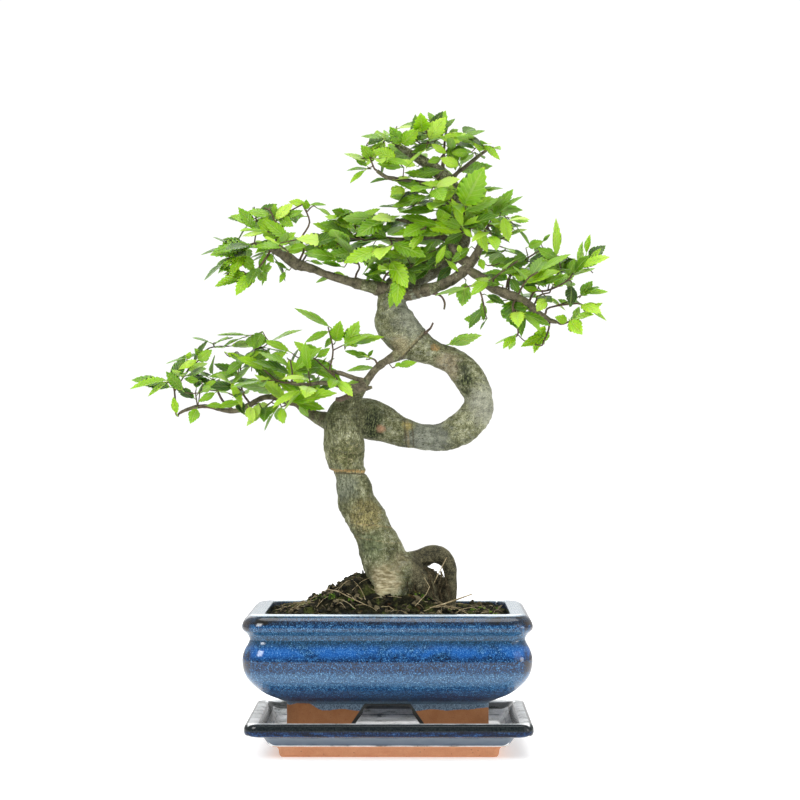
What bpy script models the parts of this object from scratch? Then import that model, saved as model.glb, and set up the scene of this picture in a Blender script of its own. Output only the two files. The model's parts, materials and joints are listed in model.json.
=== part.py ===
"""Chinese elm bonsai: looped trunk, leafy sprays, soil, glazed pot and drip tray.

Metres, +Z up. The origin is the middle of the flat base of the tray, -Y is the front and +X the right.
"""

import math
import random

import bmesh
import bpy
from mathutils import Matrix, Vector, noise
from mathutils.bvhtree import BVHTree

MM = 0.001
GAP = 0.3 * MM
SEED = 11

# Angles in degrees up to which faces are shaded smooth
GLAZE_SMOOTH = 35
LEAF_SMOOTH = 40
BARK_SMOOTH = 50

# The drip tray. Its profile, like the pot's, has rows of inset, height and corner radius in millimetres
TRAY_WIDTH = 155 * MM
TRAY_DEPTH = 118 * MM
TRAY_FOOT_TOP = 6.1 * MM
TRAY_LIP_UNDERSIDE = 12.3 * MM
TRAY_HEIGHT = 19.9 * MM
TRAY_FLOOR = 10.5 * MM
TRAY_PROFILE = (
    (19.3, 0, 2.0), (18.3, 0.9, 3.0), (17.8, 5.2, 3.5), (13.5, TRAY_FOOT_TOP / MM, 4),
    (9.3, TRAY_LIP_UNDERSIDE / MM, 5), (1.9, 12.5, 7), (0, 14.2, 7), (0.2, 18.3, 7), (1.9, TRAY_HEIGHT / MM, 6),
    (6.6, 19.7, 5), (8.0, 18.3, 4.5), (13.6, 11.4, 4), (15.4, TRAY_FLOOR / MM, 3.5),
)

# The pot, whose middle stands a little left of the middle of the tray
POT_CENTRE_X = -0.8 * MM
POT_WIDTH = 156 * MM
POT_DEPTH = 116 * MM
POT_BOTTOM = TRAY_FLOOR + GAP
POT_RECESS_TOP = 29.6 * MM
POT_FLOOR = 35 * MM
POT_TOP = 77.6 * MM
POT_FOOT = 23.2
POT_FOOT_INSIDE = 30.2
POT_FOOT_Z = POT_BOTTOM / MM
POT_OUTSIDE = (
    (POT_FOOT_INSIDE + 1.5, POT_RECESS_TOP / MM, 5), (POT_FOOT_INSIDE, 27.6, 6), (POT_FOOT_INSIDE, POT_FOOT_Z, 6),
    (POT_FOOT + 0.4, POT_FOOT_Z, 8), (POT_FOOT, POT_FOOT_Z + 1, 8), (POT_FOOT, 27.8, 8), (22.2, 28.6, 9),
    (17.4, 30.8, 12), (11.6, 33.8, 13), (4.9, 39.6, 14), (1.2, 45.6, 13.5), (0, 52.5, 13), (1.2, 58, 12),
    (3.4, 62, 10.5), (3.9, 64.4, 10), (2.6, 67, 11), (0.3, 69.2, 12.5), (0, 71.6, 12.5), (1.6, 75, 11.5),
    (4.6, 77.2, 9.5), (8.2, POT_TOP / MM, 8), (10.8, 77.4, 7),
)
POT_INSIDE = ((12.3, 76.4, 6), (12.6, 67, 7), (10, 54, 8), (11, 44, 9), (20, POT_FLOOR / MM, 8))
ARCH_TOP = 27.2 * MM
ARCH_TOP_HALF = 13.4 * MM
ARCH_BOTTOM_HALF = 20.5 * MM
ARCH_ROUNDING = 4 * MM
ARCH_UPRIGHT = 2 * MM
SIDE_ARCH_SCALE = 0.66
DRAIN_HOLE_RADIUS = 5.5 * MM
DRAIN_HOLE_X = 30 * MM
DRAIN_HOLE_SIDES = 14
DRAIN_CUTTER_LENGTH = 20 * MM

# The plastic screens over the drain holes
SCREEN_SIDE = 19 * MM
SCREEN_THICKNESS = 1 * MM
SCREEN_HOLE = 4.4 * MM
SCREEN_HOLE_X = 3.6 * MM

# The soil, with its mounds as centre x, y, spread x, y and height in millimetres
SOIL_EDGE = 75.2 * MM
MOUNDS = ((-15, 4, 29, 31, 21.5), (21, 0, 13, 16, 13))
SOIL_MIDDLE_X = -6 * MM
SOIL_WAVES = ((7 * MM, 2.2 * MM), (3 * MM, 1.3 * MM))
SOIL_WALL_GAP = 0.4
SOIL_EDGE_INSET = 12.9
SOIL_EDGE_CORNER = 6
SOIL_EDGE_DROP = 1 * MM
SOIL_RING_SHARES = (0.92, 0.78, 0.63, 0.48, 0.34, 0.2, 0.08)
CHIP_COUNT = 9
CHIP_HALF_SIZES = ((2.4, 4.6), (1.4, 2.4), (1, 1.7))
CHIP_TILT = 0.5
CHIP_FREE_X = (-24 * MM, 46 * MM)
CHIP_FREE_Y = 30 * MM

# The leaves, as shares of a blade's length or half width
PETIOLE = 1.8 * MM
PETIOLE_SUNK = 0.12 * MM
END_LEAF_SUNK = 0.5 * MM
PETIOLE_HALF_WIDTH = 0.35 * MM
RIB_HALF_THICKNESS = 0.45 * MM
NECK_THICKNESS = 0.5 * MM
BLADE_EDGE = ((0.12, 0.62), (0.42, 1.0), (0.485, 0.8), (0.70, 0.80), (0.76, 0.56))
BLADE_MIDDLE = 0.45
CLEARANCE = 0.35 * MM

# How the leaves sit: ranges of the swing from the stem in degrees, of the length and width as shares, of the droop
# and of the fold; then where a blade's upper face looks, and the turns in degrees that are tried until it is clear
LEAF_SWING = (42, 66)
LEAF_LENGTHS = (0.82, 1.12)
LEAF_WIDTHS = (0.5, 0.64)
LEAF_DROOPS = (0.05, 0.24)
LEAF_FOLDS = (0.05, 0.3)
LEAF_JITTER = (0.45, 0.3, 0.3)
LEAF_FACE = (0.1, 0.62, 0.72)
LEAF_BACK_Y = 9 * MM
LEAF_FIRST_STEP = 0.3
STEEP_STEM = 0.85
TURNS = (0, 35, -35, 70, -70, 110, -110, 145)

# Tube routes of the wood: points x, y, z and the radius, in millimetres
TRUNK_LOWER = (
    (5, 2, 62, 8), (4.6, 1, 70, 12), (4, 0, 78, 14), (3, 0, 86, 14.2), (0.2, 0, 95, 13.2),
    (-2.4, 0, 103, 12), (-4.9, 0, 110, 11.2), (-9.8, -1, 120, 10.3), (-14.5, -1, 129, 10.4),
    (-17.3, -2, 136, 10.4), (-19.3, -2, 144, 9.8), (-21.8, -3, 151.5, 8.3), (-23.6, -3, 157.5, 10),
    (-24.9, -3, 165, 11.3), (-25.2, -3, 173, 11), (-24.6, -2, 181, 11.2), (-22.4, -1, 187, 9.4),
    (-20, 0, 191.5, 5.6),
)
TRUNK_UPPER = (
    (-21, 1, 183.5, 10), (-13, 5, 184, 10.8), (-5.5, 8, 181.6, 10.4), (1, 8, 178.3, 9.4), (8, 6, 175, 8.3),
    (17, 4, 172.4, 7.4), (26, 2, 171.8, 7.4), (34, 0, 173.8, 8.1), (41, -2, 178, 8.9),
    (47, -3, 184, 8.8), (49.7, -3, 192, 7.8), (46.8, -2, 200.5, 8.2), (41, 0, 208.5, 8.2),
    (33, 2, 214.6, 7.2), (25, 3, 218, 6.9), (18, 3, 220.8, 8.3), (12, 2, 224.6, 9.9),
    (7.3, 1, 230, 11.2), (3.8, 0, 236.5, 11.3), (2.5, 0, 242.5, 9), (2.2, 0, 248, 7.7),
    (3.6, 1, 254, 7.3), (9, 3, 258, 6.9), (17, 5, 262, 6.4), (26, 6, 267, 5.9), (34, 6, 272.5, 5.6),
    (39, 5, 280, 5.3), (40.5, 4, 290, 4.9), (38.5, 3, 301, 4.5), (34.5, 2, 310.5, 4.2),
    (28, 1, 317.5, 3.8), (19, 0, 324, 3), (10, 0, 329.5, 2.2), (3.3, 0, 333.8, 1.5),
)
BRANCHES = {
    "root_arch": (
        (6, 2, 101, 6), (13, 2, 105.3, 5.2), (19, 1, 106.8, 5.2), (25.5, 0, 106.7, 5.1), (31, -1, 103.4, 4.4),
        (33.6, -1, 96.5, 3.6), (33.9, -1, 88, 3.4), (33.2, -1, 78, 3.6), (33, -1, 68, 2.6),
    ),
    "root_mass": ((5, -2, 101, 9), (12, -4, 96, 8), (19, -5, 88, 7), (23, -6, 78, 5.4), (25, -6, 66, 3.6)),
    "root_fibres": ((10, 2, 98, 6), (19, 2, 94, 5.6), (27, 1, 89.5, 5), (30, 0, 79, 4.6)),
    "root_front": ((0, -4, 92, 8), (-4, -11, 83, 5.6), (-7, -16, 74, 4), (-9, -19, 66, 3)),
    "root_back": ((4, 4, 92, 8), (8, 12, 83, 5.6), (11, 17, 74, 4), (13, 20, 66, 3)),
    "left": (
        (3, 0, 252, 5.5), (-5, -2, 254.8, 4.1), (-10, -4, 256.3, 3.6), (-17, -6, 258, 3.1),
        (-25, -8, 259.8, 2.5), (-34, -9, 262.3, 2.2), (-42, -9, 264.8, 2.2), (-48, -9, 266, 2.9),
        (-52, -9, 267.5, 3.4), (-57, -9, 271, 2.8), (-63, -8, 274.5, 2), (-69, -7, 277, 1.5),
        (-74, -6, 278.6, 1),
    ),
    "right": (
        (5, 0, 252, 5.5), (14, -5, 251.7, 3.9), (23, -8, 253.5, 3.2), (32, -10, 257, 2.9),
        (39.5, -10, 262, 2.9), (45, -9, 268, 2.7), (49, -8, 274.5, 2.2), (50.5, -6, 281, 1.4),
    ),
    "right_pad": (
        (42, -10, 264.5, 2.4), (50, -13, 260, 2.7), (56, -14, 255, 2.6), (63, -14, 252, 2.6),
        (70, -13, 249, 2.5), (76, -12, 245.5, 2.3), (81, -11, 240.5, 2.1), (87, -10, 236.5, 1.6),
        (92, -9, 235, 1),
    ),
    "low_a": (
        (-24, 0, 178, 7), (-33, 1, 181, 5), (-40, 3, 183.2, 3.4), (-46, 4, 186, 2.4), (-52, 5, 190, 1.8),
        (-59, 6, 191.5, 1.6), (-66, 7, 194, 1.6), (-73, 8, 192.5, 1.5), (-79, 8, 189, 1.5),
        (-86, 8, 186.2, 1.4), (-93, 8, 186.7, 1.3), (-100, 7, 188.5, 1.2), (-107, 7, 188.5, 1.1),
        (-113, 7, 186.8, 1), (-117, 7, 184.8, 0.8),
    ),
    "low_b": (
        (9, 2, 220, 4.5), (2, -6, 215.8, 3), (-4, -9, 211.8, 2.3), (-9, -12, 206.8, 2),
        (-13, -14, 201.5, 2.2), (-18, -15, 198.7, 2.2), (-24, -16, 199.5, 1.6), (-31, -16, 201, 1.4),
        (-38, -17, 201.5, 1.2), (-45, -17, 200.5, 1.1), (-54, -17, 201.5, 1),
    ),
    "low_b_upper": (
        (-12.5, -14, 202.3, 1.6), (-17, -14.5, 203.6, 1.4), (-22, -15, 205, 1.3), (-27, -15, 207, 1.2),
        (-31, -15, 208, 0.9),
    ),
    "knob": ((-19, -15, 198, 1.8), (-22, -15, 194.8, 1.5), (-27, -15, 192.6, 1.4), (-29.5, -15, 192.8, 1)),
    "crown_right": (
        (33, 2, 312.5, 2.4), (37, 2, 317.5, 1.2), (43, 2, 322.5, 1.1), (49, 2, 327.2, 1), (53.5, 2, 330.5, 0.8),
    ),
    "crown_left": (
        (33, 2, 312, 2.4), (22, -4, 311.5, 1.4), (12, -7, 312.5, 1.3), (3, -8, 314, 1.3), (-2, -8, 315, 1.1),
        (-7, -8, 318.5, 1),
    ),
    "mid_low": (
        (37, 4, 279, 2.6), (28, 0, 282.5, 1.5), (16, -4, 281.3, 1.3), (6, -6, 280.6, 1.2),
        (-4, -7, 281.3, 1.1), (-10, -8, 280.2, 0.9),
    ),
    "mid_high": ((39, 4, 290, 2.4), (30, -2, 291.5, 1.4), (16, -6, 290.2, 1.2), (6.5, -8, 291, 0.9)),
    "mid_top": ((38, 3, 301, 2.4), (30, -2, 300, 1.3), (20, -4, 298.8, 1.1), (14, -5, 297.3, 0.9)),
    "curl": ((23, -8, 251.6, 1.4), (28, -9, 249.6, 0.6), (30.3, -9, 245.8, 0.6), (30, -9, 242, 0.5)),
    "scar_twig": ((17, -1, 226, 1.6), (20.5, -1, 230, 0.8), (22.6, -1, 232, 0.6), (24, -1, 235, 0.5)),
    "bare_low": ((-88, 8, 187, 0.9), (-93, 4, 192, 0.7), (-96, 2, 198.5, 0.6)),
    "bare_crown": ((29, 1, 317, 1.4), (30, 4, 329, 0.8), (31, 4, 340, 0.6), (33, 4, 346, 0.5)),
}
THICK_BRANCHES = ("root_arch", "root_mass", "root_fibres", "root_front", "root_back", "left", "right", "low_a")
THIN_TWIGS = ("curl", "scar_twig", "bare_low", "bare_crown", "knob")
TRUNK_ROUGHNESS = 0.8 * MM
TRUNK_ROUGHNESS_SIZE = 8 * MM
HOLE_GAP = 0.36 * MM
TRUNK_SIDES = 12
BRANCH_SIDES = 8
TWIG_SIDES = 6
STEM_SIDES = 4
STEM_RADII = (0.68, 0.5)
SIDE_STEM_RADII = (0.42, 0.46)

# Sprays: the branch each grows from, then its stems. A stem is its points x, y, z in millimetres, its number of
# leaves, the length of its leaves in millimetres and the share of the stem that is bare. The first stem starts at
# the branch, and the others start at a point of an earlier one
SPRAYS = {
    "left_end": ("left", (
        (((-74.6, -6, 278.7), (-77.5, -6, 278)), 2, 19, 0.5),
        (((-74.6, -6, 278.7), (-82.5, -3, 273)), 3, 16, 0.3),
        (((-74.6, -6, 278.7), (-73.4, -5, 289), (-75, -2, 299)), 3, 15, 0.45),
    )),
    "left_low": ("left", (
        (((-67.2, -10, 271.5), (-74, -11, 262.5), (-79, -11, 261)), 4, 18, 0.5),
    )),
    "left_knee": ("left", (
        (((-61.5, -11, 284), (-65, -10, 295), (-69, -10, 298)), 4, 14, 0.4),
        (((-61.5, -11, 284), (-67, -16, 284.5)), 2, 17, 0.5),
    )),
    "left_arch": ("left", (
        (((-47.2, -8, 275), (-48.6, -9, 281), (-44, -9, 290), (-48, -7, 300)), 3, 15, 0.75),
        (((-48.6, -9, 281), (-60, -17, 278)), 3, 15, 0.5),
        (((-48, -7, 300), (-56, -5, 296)), 2, 14, 0.5),
    )),
    "left_back_a": ("left", ((((-60, 12, 277), (-66, 20, 278)), 3, 20, 0.4),)),
    "left_back_b": ("left", ((((-46, 12, 275), (-51, 22, 277)), 3, 20, 0.4),)),
    "left_front": ("left", ((((-55.5, -18, 273.5), (-60, -28, 276.5)), 3, 16, 0.4),)),
    "mid_left": ("left", (
        (((-17, -7, 267), (-26, -9, 277), (-31, -10, 278)), 4, 21, 0.35),
        (((-17, -7, 267), (-28, 5, 289)), 3, 19, 0.5),
        (((-17, -7, 267), (-29, -14, 270)), 2, 17, 0.5),
    )),
    "mid_end": ("mid_low", (
        (((-15, -9, 280.5), (-18.5, -9, 285), (-19, -9, 291)), 4, 16, 0.3),
        (((-15, -9, 280.5), (-24, -15, 281)), 2, 17, 0.4),
    )),
    "mid_high_end": ("mid_high", ((((0, -9, 292), (-8, -10, 292)), 4, 19, 0.1),)),
    "mid_front_a": ("mid_low", ((((1, -14, 277), (-6, -18, 274.5)), 4, 20, 0.2),)),
    "mid_front_b": ("left", ((((-1, -9, 262), (5, -15, 264), (5, -17, 261)), 4, 20, 0.4),)),
    "mid_top_end": ("mid_top", (
        (((9, -6, 297.2), (4, -7, 299.3)), 3, 17, 0.2),
        (((9, -6, 297.2), (17, -13, 301)), 3, 17, 0.4),
    )),
    "mid_front_c": ("mid_high", ((((20, -15, 287), (17, -21, 285)), 4, 19, 0.3),)),
    "mid_front_d": ("mid_low", (
        (((39, -9, 286), (40.6, -11, 299), (42, -11, 303)), 5, 23, 0.2),
    )),
    "mid_front_e": ("trunk_upper", ((((31, -9, 301), (29, -15, 300)), 3, 19, 0.4),)),
    "mid_back_a": ("trunk_upper", ((((12, 20, 270), (4, 26, 273)), 3, 22, 0.3),)),
    "mid_back_b": ("trunk_upper", ((((29, 19, 281), (20, 28, 287)), 3, 22, 0.3),)),
    "mid_back_c": ("trunk_upper", ((((48, 17, 297), (55, 26, 300)), 3, 21, 0.3),)),
    "mid_right": ("right", (
        (((54, -6, 288), (57, -6, 293)), 4, 17, 0.3),
        (((54, -6, 288), (63, -11, 290)), 2, 16, 0.3),
        (((54, -6, 288), (56, -20, 282)), 3, 16, 0.3),
        (((57, -6, 293), (60, -1, 299)), 1, 17, 0.9),
    )),
    "right_fork": ("right", (
        (((55.5, -8, 278.5), (64, -8, 282)), 1, 12, 0.9),
        (((55.5, -8, 278.5), (66, -8, 275)), 2, 12, 0.6),
    )),
    "right_inner": ("right_pad", (
        (((58.5, -19, 260), (70, -23, 268)), 3, 17, 0.25),
        (((58.5, -19, 260), (54, -23, 257)), 2, 14, 0.4),
    )),
    "right_middle": ("right_pad", ((((75, -21, 258), (81, -23, 262)), 4, 18, 0.3),)),
    "right_upper": ("right_pad", (
        (((66, -6, 260), (74, -3, 269), (85, -1, 276)), 3, 17, 0.45),
        (((74, -3, 269), (86, -6, 268)), 2, 16, 0.35),
    )),
    "right_rise": ("right_pad", (
        (((80, -9, 252), (87, -9, 252.5), (98, -8, 258), (109, -4, 269)), 3, 16, 0.75),
        (((87, -9, 252.5), (90, -3, 265), (91, -3, 272)), 3, 20, 0.5),
        (((98, -8, 258), (101, -12, 262)), 2, 13, 0.4),
    )),
    "right_low": ("right_pad", (
        (((88, -12, 243), (103, -11, 245.2), (108, -10, 243)), 3, 15, 0.7),
        (((88, -12, 243), (100, -10, 247), (109, -9, 252)), 2, 13, 0.8),
    )),
    "right_end": ("right_pad", ((((95.5, -9, 234), (104, -9, 238)), 3, 15, 0.5),)),
    "right_droop": ("right_pad", (
        (((87, -13, 230), (83.5, -15, 222)), 3, 14, 0.3),
        (((83.5, -15, 222), (77, -14, 223)), 2, 11, 0.6),
    )),
    "right_hang": ("right_pad", (
        (((67.3, -19, 242), (70.4, -20, 229), (66, -20, 225.3)), 2, 12, 0.8),
        (((67.3, -19, 242), (72, -23, 239)), 3, 17, 0.4),
    )),
    "hang_twig": ("right_pad", (
        (((47.5, -15, 255.5), (50.3, -14, 250), (52.7, -14, 239)), 3, 12, 0.6),
        (((47.5, -15, 255.5), (41, -15, 254)), 2, 14, 0.5),
    )),
    "right_back_a": ("right_pad", ((((67, 3, 261), (73, 12, 263)), 3, 20, 0.35),)),
    "right_back_b": ("right_pad", ((((83, 2, 250), (89, 10, 252)), 3, 19, 0.35),)),
    "crown_tip": ("trunk_upper", (
        (((-1, 0, 336.2), (-4.5, 0, 337)), 3, 17, 0.2),
        (((-1, 0, 336.2), (6, -6, 338)), 2, 16, 0.4),
    )),
    "crown_top": ("trunk_upper", (
        (((18, -4.5, 331), (17.5, -4, 333), (14, -6, 336)), 3, 15, 0.4),
        (((17.5, -4, 333), (27, -6, 336)), 3, 16, 0.4),
    )),
    "crown_top_right": ("trunk_upper", ((((30, -5, 328), (38, -6, 337)), 4, 16, 0.3),)),
    "crown_right": ("crown_right", (
        (((55.2, 2, 331.8), (57.5, 2, 332.4)), 2, 13, 0.5),
        (((55.2, 2, 331.8), (48, -5, 334)), 3, 14, 0.3),
    )),
    "crown_left": ("crown_left", (
        (((-8.6, -8, 320), (-10.8, -8, 325.5), (-13, -8, 328.5)), 3, 14, 0.4),
        (((-10.8, -8, 325.5), (-18, -8, 325)), 2, 12, 0.4),
        (((-10.8, -8, 325.5), (-2, -14, 324)), 3, 16, 0.3),
    )),
    "crown_front": ("crown_left", ((((24, -11, 309.5), (25, -17, 308)), 4, 18, 0.3),)),
    "crown_back_a": ("trunk_upper", ((((15, 11, 329), (9, 20, 331)), 3, 18, 0.3),)),
    "crown_back_b": ("trunk_upper", ((((37, 14, 319), (40, 22, 324)), 3, 18, 0.3),)),
    "low_tip": ("low_a", (
        (((-119, 7, 184.4), (-119.6, 4, 197), (-121.5, 4, 201.5), (-125, 4, 202)), 3, 19, 0.7),
        (((-119.6, 4, 197), (-109, -2, 213)), 3, 15, 0.4),
        (((-109, -2, 213), (-100, 1, 221), (-89, 1, 222)), 3, 13, 0.4),
    )),
    "low_rise": ("low_a", (
        (((-82, 5, 197), (-82.8, 2, 209), (-83, 0, 217)), 3, 15, 0.5),
        (((-82, 5, 197), (-87, -5, 201)), 3, 15, 0.4),
        (((-82, 5, 197), (-86, -2, 190)), 2, 14, 0.6),
    )),
    "low_b_end": ("low_b", (
        (((-62, -15, 203.2), (-73.2, -10, 213.5), (-74, -9, 220)), 3, 16, 0.5),
        (((-62, -15, 203.2), (-70, -20, 202.5)), 3, 16, 0.3),
    )),
    "low_cluster": ("low_a", (
        (((-61, 0, 195), (-64, -6, 198)), 3, 15, 0.4),
        (((-61, 0, 195), (-70, -6, 187)), 3, 13, 0.5),
    )),
    "low_big": ("low_b", ((((-53, -20, 206.5), (-54, -21, 214)), 4, 20, 0.2),)),
    "low_bright": ("low_b", (
        (((-43, -21, 200), (-49, -25, 197.5)), 3, 19, 0.25),
        (((-43, -21, 200), (-44, -26, 208)), 2, 18, 0.3),
    )),
    "low_twig": ("low_b_upper", (
        (((-32.8, -15, 208.7), (-31, -12, 219.5), (-33.8, -10, 232.3)), 2, 22, 0.9),
        (((-31, -12, 219.5), (-23, -12, 223.5)), 3, 15, 0.6),
    )),
    "low_right": ("low_b_upper", (
        (((-31, -18.5, 206), (-41, -15, 215)), 3, 15, 0.5),
        (((-31, -18.5, 206), (-28, -22, 203)), 2, 14, 0.5),
    )),
    "low_pair": ("low_b", ((((-8.5, -12, 214.5), (-14, -13, 216.3)), 3, 9, 0.4),)),
    "loop_back": ("trunk_upper", ((((28, 13, 221.5), (33, 14, 221)), 2, 19, 0.7),)),
    "low_back_a": ("low_a", ((((-60, 15, 197), (-64, 24, 200)), 3, 20, 0.4),)),
    "low_back_b": ("low_a", ((((-85, 16, 193), (-91, 24, 196)), 3, 18, 0.4),)),
    "low_back_c": ("low_a", ((((-46, 14, 194), (-48, 22, 201)), 3, 20, 0.4),)),
}


def clear_scene():
    """Start from a scene with no objects in it."""
    for old in list(bpy.data.objects):
        bpy.data.objects.remove(old)


def new_collection(name):
    """A collection linked to the scene."""
    made = bpy.data.collections.new(name)
    bpy.context.scene.collection.children.link(made)
    return made


def new_material(name, colour, roughness):
    """A plain surface of one colour and roughness."""
    made = bpy.data.materials.new(name)
    made.use_nodes = True
    shader = made.node_tree.nodes["Principled BSDF"]
    shader.inputs["Base Color"].default_value = (*colour, 1)
    shader.inputs["Roughness"].default_value = roughness
    return made


def add_object(name, mesh, collection):
    """An object that shows a mesh, in a collection."""
    made = bpy.data.objects.new(name, mesh)
    collection.objects.link(made)
    return made


def mesh_of(name, points, faces):
    """A mesh with its faces pointing outwards."""
    mesh = bpy.data.meshes.new(name)
    mesh.from_pydata([tuple(p) for p in points], [], faces)
    work = bmesh.new()
    work.from_mesh(mesh)
    bmesh.ops.recalc_face_normals(work, faces=work.faces)
    work.to_mesh(mesh)
    work.free()
    return mesh


def finish(made, material, angle):
    """Give a piece its material and smooth its faces up to an angle in degrees."""
    made.data.materials.clear()
    made.data.materials.append(material)
    made.data.shade_smooth()
    made.data.set_sharp_from_angle(angle=math.radians(angle))
    return made


def apply_modifiers(made):
    """Replace a piece's mesh by what its modifiers make of it."""
    bpy.context.view_layer.update()
    shaped = made.evaluated_get(bpy.context.evaluated_depsgraph_get())
    mesh = bpy.data.meshes.new_from_object(shaped)
    made.modifiers.clear()
    old = made.data
    made.data = mesh
    bpy.data.meshes.remove(old)


def cut(made, cutter, solver="EXACT"):
    """Cut a cutter's shape out of a piece and remove the cutter."""
    step = made.modifiers.new("cut", "BOOLEAN")
    step.operation = "DIFFERENCE"
    step.solver = solver
    step.object = cutter
    apply_modifiers(made)
    bpy.data.objects.remove(cutter)


def fuse(pieces):
    """Join closed pieces into the first of them with one Boolean union on a collection."""
    whole, rest = pieces[0], pieces[1:]
    if not rest:
        return whole
    joined = bpy.data.collections.new(whole.name + "_parts")
    bpy.context.scene.collection.children.link(joined)
    for piece in rest:
        for holder in piece.users_collection:
            holder.objects.unlink(piece)
        joined.objects.link(piece)
    step = whole.modifiers.new("fuse", "BOOLEAN")
    step.operation = "UNION"
    step.operand_type = "COLLECTION"
    step.collection = joined
    step.solver = "MANIFOLD"
    apply_modifiers(whole)
    for piece in rest:
        bpy.data.objects.remove(piece)
    bpy.data.collections.remove(joined)
    return whole


def keep_largest(made):
    """Drop loose scraps and sealed hollows, so that one body is left."""
    work = bmesh.new()
    work.from_mesh(made.data)
    work.verts.ensure_lookup_table()
    waiting = set(work.verts)
    groups = []
    while waiting:
        group = set()
        reached = [waiting.pop()]
        while reached:
            vertex = reached.pop()
            group.add(vertex)
            for edge in vertex.link_edges:
                other = edge.other_vert(vertex)
                if other in waiting:
                    waiting.discard(other)
                    reached.append(other)
        groups.append(group)
    groups.sort(key=len)
    for group in groups[:-1]:
        bmesh.ops.delete(work, geom=list(group), context="VERTS")
    work.to_mesh(made.data)
    work.free()


def rounded_ring(half_x, half_y, corner, z, centre_x=0.0, steps=3):
    """A rounded rectangle at a height, counterclockwise seen from above."""
    points = []
    for quarter, (side_x, side_y) in enumerate(((1, 1), (-1, 1), (-1, -1), (1, -1))):
        for step in range(steps + 1):
            angle = (quarter + step / steps) * math.pi / 2
            x = centre_x + side_x * (half_x - corner) + corner * math.cos(angle)
            y = side_y * (half_y - corner) + corner * math.sin(angle)
            points.append(Vector((x, y, z)))
    return points


def loft(rings):
    """Points and faces of a closed solid through rings of the same count, from its lower cap to its last."""
    count = len(rings[0])
    points = [p for ring in rings for p in ring]
    faces = [tuple(reversed(range(count)))]
    for level in range(len(rings) - 1):
        low = level * count
        high = low + count
        for i in range(count):
            j = (i + 1) % count
            faces.append((low + i, low + j, high + j, high + i))
    last = (len(rings) - 1) * count
    faces.append(tuple(range(last, last + count)))
    return points, faces


def build_tray(parts, material):
    """The drip tray: a bare foot, a sloped underside, a wide rounded lip and a shallow dish."""
    rings = [
        rounded_ring(TRAY_WIDTH / 2 - inset * MM, TRAY_DEPTH / 2 - inset * MM, corner * MM, height * MM)
        for inset, height, corner in TRAY_PROFILE
    ]
    made = add_object("drip_tray", mesh_of("drip_tray", *loft(rings)), parts)
    return finish(made, material, GLAZE_SMOOTH)


def pot_ring(inset, height, corner):
    """A ring of the pot, inset from its widest outline, in millimetres."""
    return rounded_ring(
        POT_WIDTH / 2 - inset * MM, POT_DEPTH / 2 - inset * MM, corner * MM, height * MM, POT_CENTRE_X
    )


def build_pot(parts, material):
    """The pot: foot with arched cut-outs, full belly, waist, rolled rim, inner wall and drain holes."""
    rings = [pot_ring(*row) for row in POT_OUTSIDE + POT_INSIDE]
    made = add_object("pot", mesh_of("pot", *loft(rings)), parts)
    for turned in (False, True):
        cut(made, arch_cutter(turned))
    for side in (-1, 1):
        cut(made, round_cutter(side * DRAIN_HOLE_X + POT_CENTRE_X))
    return finish(made, material, GLAZE_SMOOTH)


def arch_cutter(turned):
    """A bar with the outline of the foot's cut-outs, through both long walls or, turned, both short ones."""
    scale = SIDE_ARCH_SCALE if turned else 1
    top = ARCH_TOP_HALF * scale
    base = ARCH_BOTTOM_HALF * scale
    low = POT_BOTTOM - ARCH_UPRIGHT
    shoulder = POT_BOTTOM + ARCH_UPRIGHT
    outline = [(-base, low), (base, low), (base, shoulder)]
    for side in (1, -1):
        steps = (0, 1, 2) if side == 1 else (2, 1, 0)
        for step in steps:
            angle = step / 2 * math.pi / 2
            outline.append((
                side * (top - ARCH_ROUNDING + ARCH_ROUNDING * math.cos(angle)),
                ARCH_TOP - ARCH_ROUNDING + ARCH_ROUNDING * math.sin(angle),
            ))
    outline.append((-base, shoulder))
    reach = POT_WIDTH if turned else POT_DEPTH
    rings = []
    for end in (-reach, reach):
        if turned:
            rings.append([Vector((end, across, z)) for across, z in outline])
        else:
            rings.append([Vector((across + POT_CENTRE_X, end, z)) for across, z in outline])
    return add_object("arch_cutter", mesh_of("arch_cutter", *loft(rings)), bpy.context.scene.collection)


def round_cutter(x):
    """An upright round bar for a drain hole."""
    mesh = bpy.data.meshes.new("drain_cutter")
    work = bmesh.new()
    bmesh.ops.create_cone(
        work, cap_ends=True, segments=DRAIN_HOLE_SIDES, radius1=DRAIN_HOLE_RADIUS, radius2=DRAIN_HOLE_RADIUS,
        depth=DRAIN_CUTTER_LENGTH, matrix=Matrix.Translation((x, 0, (POT_RECESS_TOP + POT_FLOOR) / 2)),
    )
    work.to_mesh(mesh)
    work.free()
    return add_object("drain_cutter", mesh, bpy.context.scene.collection)


def box_mesh(name, low, high):
    """A box between two corners."""
    mesh = bpy.data.meshes.new(name)
    work = bmesh.new()
    size = Vector(high) - Vector(low)
    middle = (Vector(high) + Vector(low)) / 2
    bmesh.ops.create_cube(work, size=1, matrix=Matrix.Translation(middle) @ Matrix.Diagonal((*size, 1)))
    work.to_mesh(mesh)
    work.free()
    return mesh


def build_screen(name, x, parts, material):
    """A square plastic screen with four holes, lying over a drain hole."""
    low = POT_FLOOR + GAP
    half = SCREEN_SIDE / 2
    mesh = box_mesh(name, (x - half, -half, low), (x + half, half, low + SCREEN_THICKNESS))
    made = add_object(name, mesh, parts)
    reach = Vector((SCREEN_HOLE / 2, SCREEN_HOLE / 2, 2 * SCREEN_THICKNESS))
    for column in (-1, 1):
        for row in (-1, 1):
            mid = Vector((x + column * SCREEN_HOLE_X, row * SCREEN_HOLE_X, low))
            cutter = box_mesh("hole", mid - reach, mid + reach)
            cut(made, add_object("hole", cutter, bpy.context.scene.collection))
    return finish(made, material, GLAZE_SMOOTH)


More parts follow.
